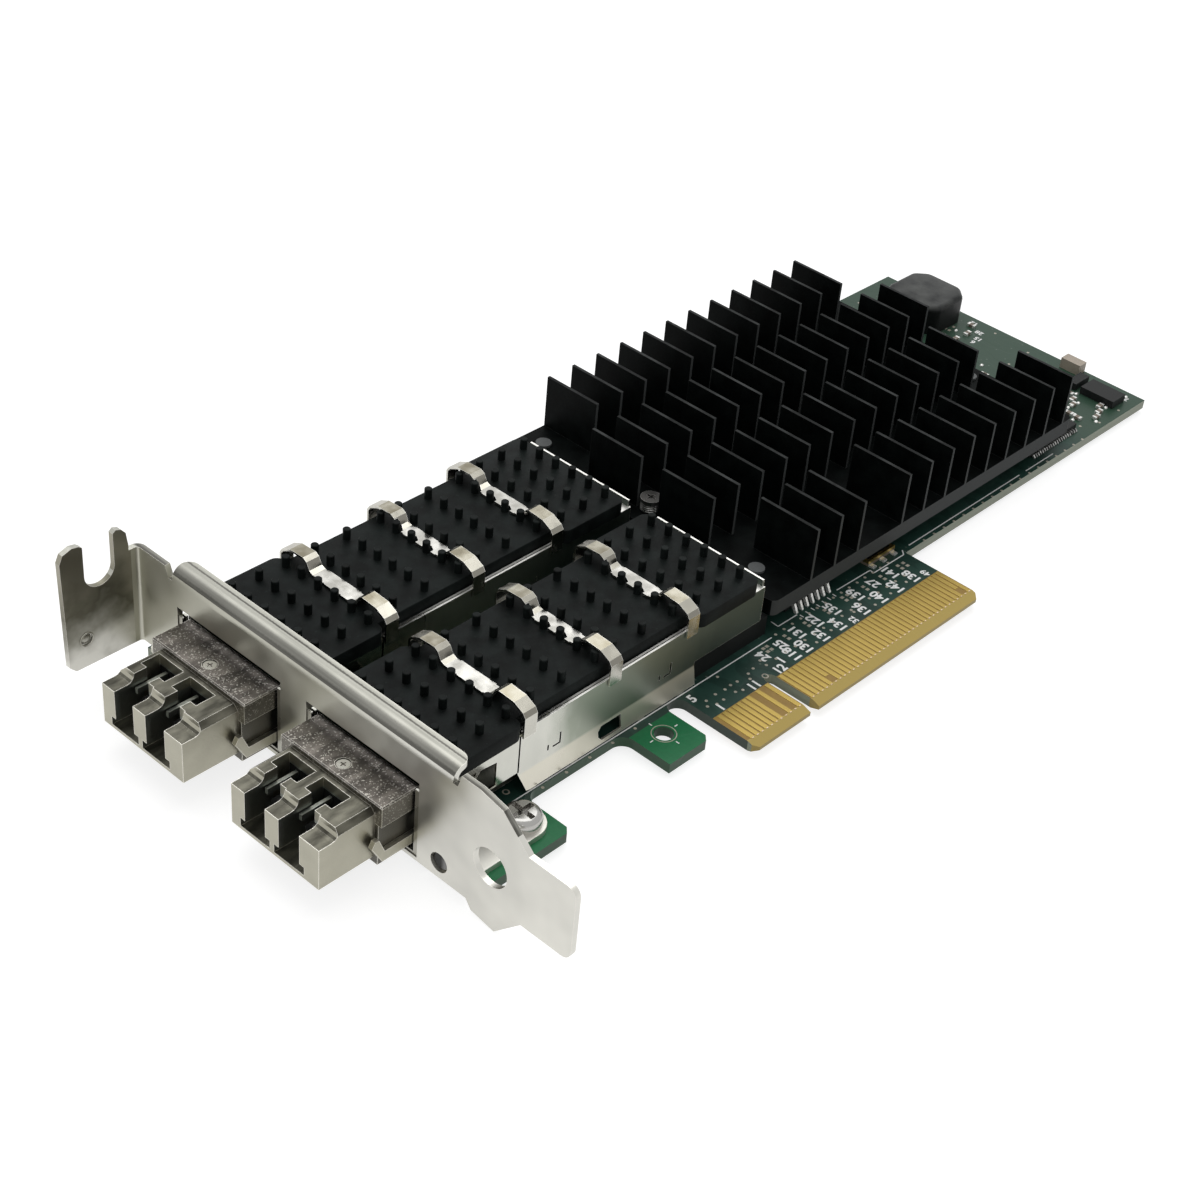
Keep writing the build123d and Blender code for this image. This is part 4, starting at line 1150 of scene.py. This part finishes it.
class CARD_OT_electronics(bpy.types.Operator):
    """Finish connectors, chips and small parts"""

    bl_idname = "card.electronics"
    bl_label = "Electronics"

    def execute(self, context):
        black = plastic_finish("black_moulding", (0.006, 0.0065, 0.0065), 0.42, 0.15)
        coat(black, "host_connector_left", "host_connector_right", "receptacle_left", "receptacle_right")
        chip = plastic_finish("chip_compound", (0.010, 0.011, 0.011), 0.5, 0.2)
        coat(chip, "edge_chip", "memory_chip", "corner_chips", "controller", "underside_parts")
        coil_block = moulded_inductor()
        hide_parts("inductor")
        dress(coil_block, inductor_finish())
        coat(plastic_finish("tantalum_mould", (0.36, 0.31, 0.25), 0.45), "tan_capacitors")
        coat(plastic_finish("ceramic", (0.16, 0.13, 0.10), 0.5), "small_parts", "oscillator")
        coat(plastic_finish("dark_cover", (0.012, 0.012, 0.011), 0.35, 0.2), "oscillator_lid")
        coat(plastic_finish("soft_pad", (0.35, 0.35, 0.37), 0.8), "heat_pad")
        solder = solder_finish("solder", 0.6, 0.96)
        coat(solder, "solder_ends", "edge_chip_leads")
        coat(solder_finish("tinned_leads", 0.06, 0.5), "memory_chip_leads", "controller_balls")
        dress(solder_blobs(), solder)
        coat(lens_finish(), "light_guide")
        return {"FINISHED"}


class CARD_OT_stage(bpy.types.Operator):
    """Set up floor, lights, world and camera"""

    bl_idname = "card.stage"
    bl_label = "Stage"

    def execute(self, context):
        _, _, studio = settings()
        make_floor()
        make_lamps(studio)
        make_world()
        make_camera(studio)
        return {"FINISHED"}


def seen_rays(tree):
    """Factor of 1 for the rays that show a background: camera, glossy and transmission."""
    path = tree.nodes.new("ShaderNodeLightPath")
    total = path.outputs["Is Camera Ray"]
    for name in ("Is Glossy Ray", "Is Transmission Ray"):
        node = tree.nodes.new("ShaderNodeMath")
        node.operation = "MAXIMUM"
        tree.links.new(total, node.inputs[0])
        tree.links.new(path.outputs[name], node.inputs[1])
        total = node.outputs["Value"]
    return total


def make_floor():
    """Pale floor under the card that shows as white but keeps the shadow."""
    below = CAD_BOX[0][2] - 0.02 * MM
    floor = added(bpy.ops.mesh.primitive_plane_add, size=3.0, location=(0, 0, below))
    floor.name = "floor"
    material = bpy.data.materials.new("floor_white")
    material.use_nodes = True
    tree = material.node_tree
    shader = tree.nodes["Principled BSDF"]
    shader.inputs["Base Color"].default_value = (FLOOR_GREY, FLOOR_GREY, FLOOR_GREY, 1)
    shader.inputs["Roughness"].default_value = 0.9
    shader.inputs["Specular IOR Level"].default_value = 0.0
    glow = tree.nodes.new("ShaderNodeEmission")
    level = tree.nodes.new("ShaderNodeMath")
    level.operation = "MULTIPLY"
    level.inputs[1].default_value = FLOOR_GLOW
    tree.links.new(seen_rays(tree), level.inputs[0])
    tree.links.new(level.outputs["Value"], glow.inputs["Strength"])
    add = tree.nodes.new("ShaderNodeAddShader")
    tree.links.new(shader.outputs["BSDF"], add.inputs[0])
    tree.links.new(glow.outputs["Emission"], add.inputs[1])
    tree.links.new(add.outputs["Shader"], tree.nodes["Material Output"].inputs["Surface"])
    floor.data.materials.append(material)


def lamp(name, place, target, size, power):
    """Rectangular area lamp aimed at a point."""
    data = bpy.data.lights.new(name, "AREA")
    data.shape = "RECTANGLE"
    data.size, data.size_y = size
    data.energy = power
    thing = bpy.data.objects.new(name, data)
    bpy.context.scene.collection.objects.link(thing)
    thing.location = place
    aim = Vector(target) - Vector(place)
    thing.rotation_euler = aim.to_track_quat("-Z", "Y").to_euler()


def make_lamps(studio):
    """Large soft lamp above and behind, and a fill at the bracket's side."""
    lamp("key", (0.10, 0.16, 0.42), (0, 0.03, 0), (0.5, 0.4), studio.key)
    lamp("fill", (-0.45, -0.20, 0.25), (-0.03, 0.03, 0), (0.35, 0.3), studio.fill)


def make_world():
    """White surroundings for the camera and for reflections, dimmer for plain light."""
    world = bpy.data.worlds.new("studio")
    bpy.context.scene.world = world
    world.use_nodes = True
    tree = world.node_tree
    soft, white = tree.nodes["Background"], tree.nodes.new("ShaderNodeBackground")
    for node, strength in ((soft, SOFT_LIGHT), (white, 1.0)):
        node.inputs["Color"].default_value = (1, 1, 1, 1)
        node.inputs["Strength"].default_value = strength
    mix = tree.nodes.new("ShaderNodeMixShader")
    tree.links.new(seen_rays(tree), mix.inputs["Fac"])
    tree.links.new(soft.outputs["Background"], mix.inputs[1])
    tree.links.new(white.outputs["Background"], mix.inputs[2])
    tree.links.new(mix.outputs["Shader"], tree.nodes["World Output"].inputs["Surface"])


def make_camera(studio):
    """Camera at the photograph's viewpoint."""
    data = bpy.data.cameras.new("camera")
    data.sensor_width = 36.0
    data.lens = studio.lens
    data.shift_x, data.shift_y = CAMERA_SHIFT
    data.clip_start = 0.01
    data.clip_end = 10.0
    camera = bpy.data.objects.new("camera", data)
    bpy.context.scene.collection.objects.link(camera)
    camera.location = Vector(CAMERA_PLACE) * MM
    camera.rotation_euler = Euler(CAMERA_TURN)
    bpy.context.scene.camera = camera
    bpy.context.scene.view_settings.view_transform = "Standard"


class CARD_PT_panel(bpy.types.Panel):
    """Steps and settings of the network card"""

    bl_label = "Network card"
    bl_idname = "CARD_PT_panel"
    bl_space_type = "VIEW_3D"
    bl_region_type = "UI"
    bl_category = "Network Card"

    def draw(self, context):
        layout = self.layout
        for step in STEPS:
            layout.operator(step.bl_idname)
        for group in ("card_board", "card_metal", "card_studio"):
            settings_box = layout.box()
            holder = getattr(context.scene, group)
            for name in holder.bl_rna.properties.keys():
                if name not in ("rna_type", "name"):
                    settings_box.prop(holder, name)


GROUPS = (CARD_PG_board, CARD_PG_metal, CARD_PG_studio)
STEPS = (
    CARD_OT_board,
    CARD_OT_prints,
    CARD_OT_metalwork,
    CARD_OT_fasteners,
    CARD_OT_coolers,
    CARD_OT_electronics,
    CARD_OT_stage,
)


def register():
    """Add the classes and settings to Blender."""
    for item in (*GROUPS, *STEPS, CARD_PT_panel):
        bpy.utils.register_class(item)
    bpy.types.Scene.card_board = PointerProperty(type=CARD_PG_board)
    bpy.types.Scene.card_metal = PointerProperty(type=CARD_PG_metal)
    bpy.types.Scene.card_studio = PointerProperty(type=CARD_PG_studio)


def unregister():
    """Take the classes and settings out again."""
    for name in ("card_board", "card_metal", "card_studio"):
        delattr(bpy.types.Scene, name)
    for item in reversed((*GROUPS, *STEPS, CARD_PT_panel)):
        bpy.utils.unregister_class(item)


def main():
    """Dress the card."""
    register()
    bpy.ops.card.board()
    bpy.ops.card.prints()
    bpy.ops.card.metalwork()
    bpy.ops.card.fasteners()
    bpy.ops.card.coolers()
    bpy.ops.card.electronics()
    bpy.ops.card.stage()


if __name__ == "__main__":
    main()
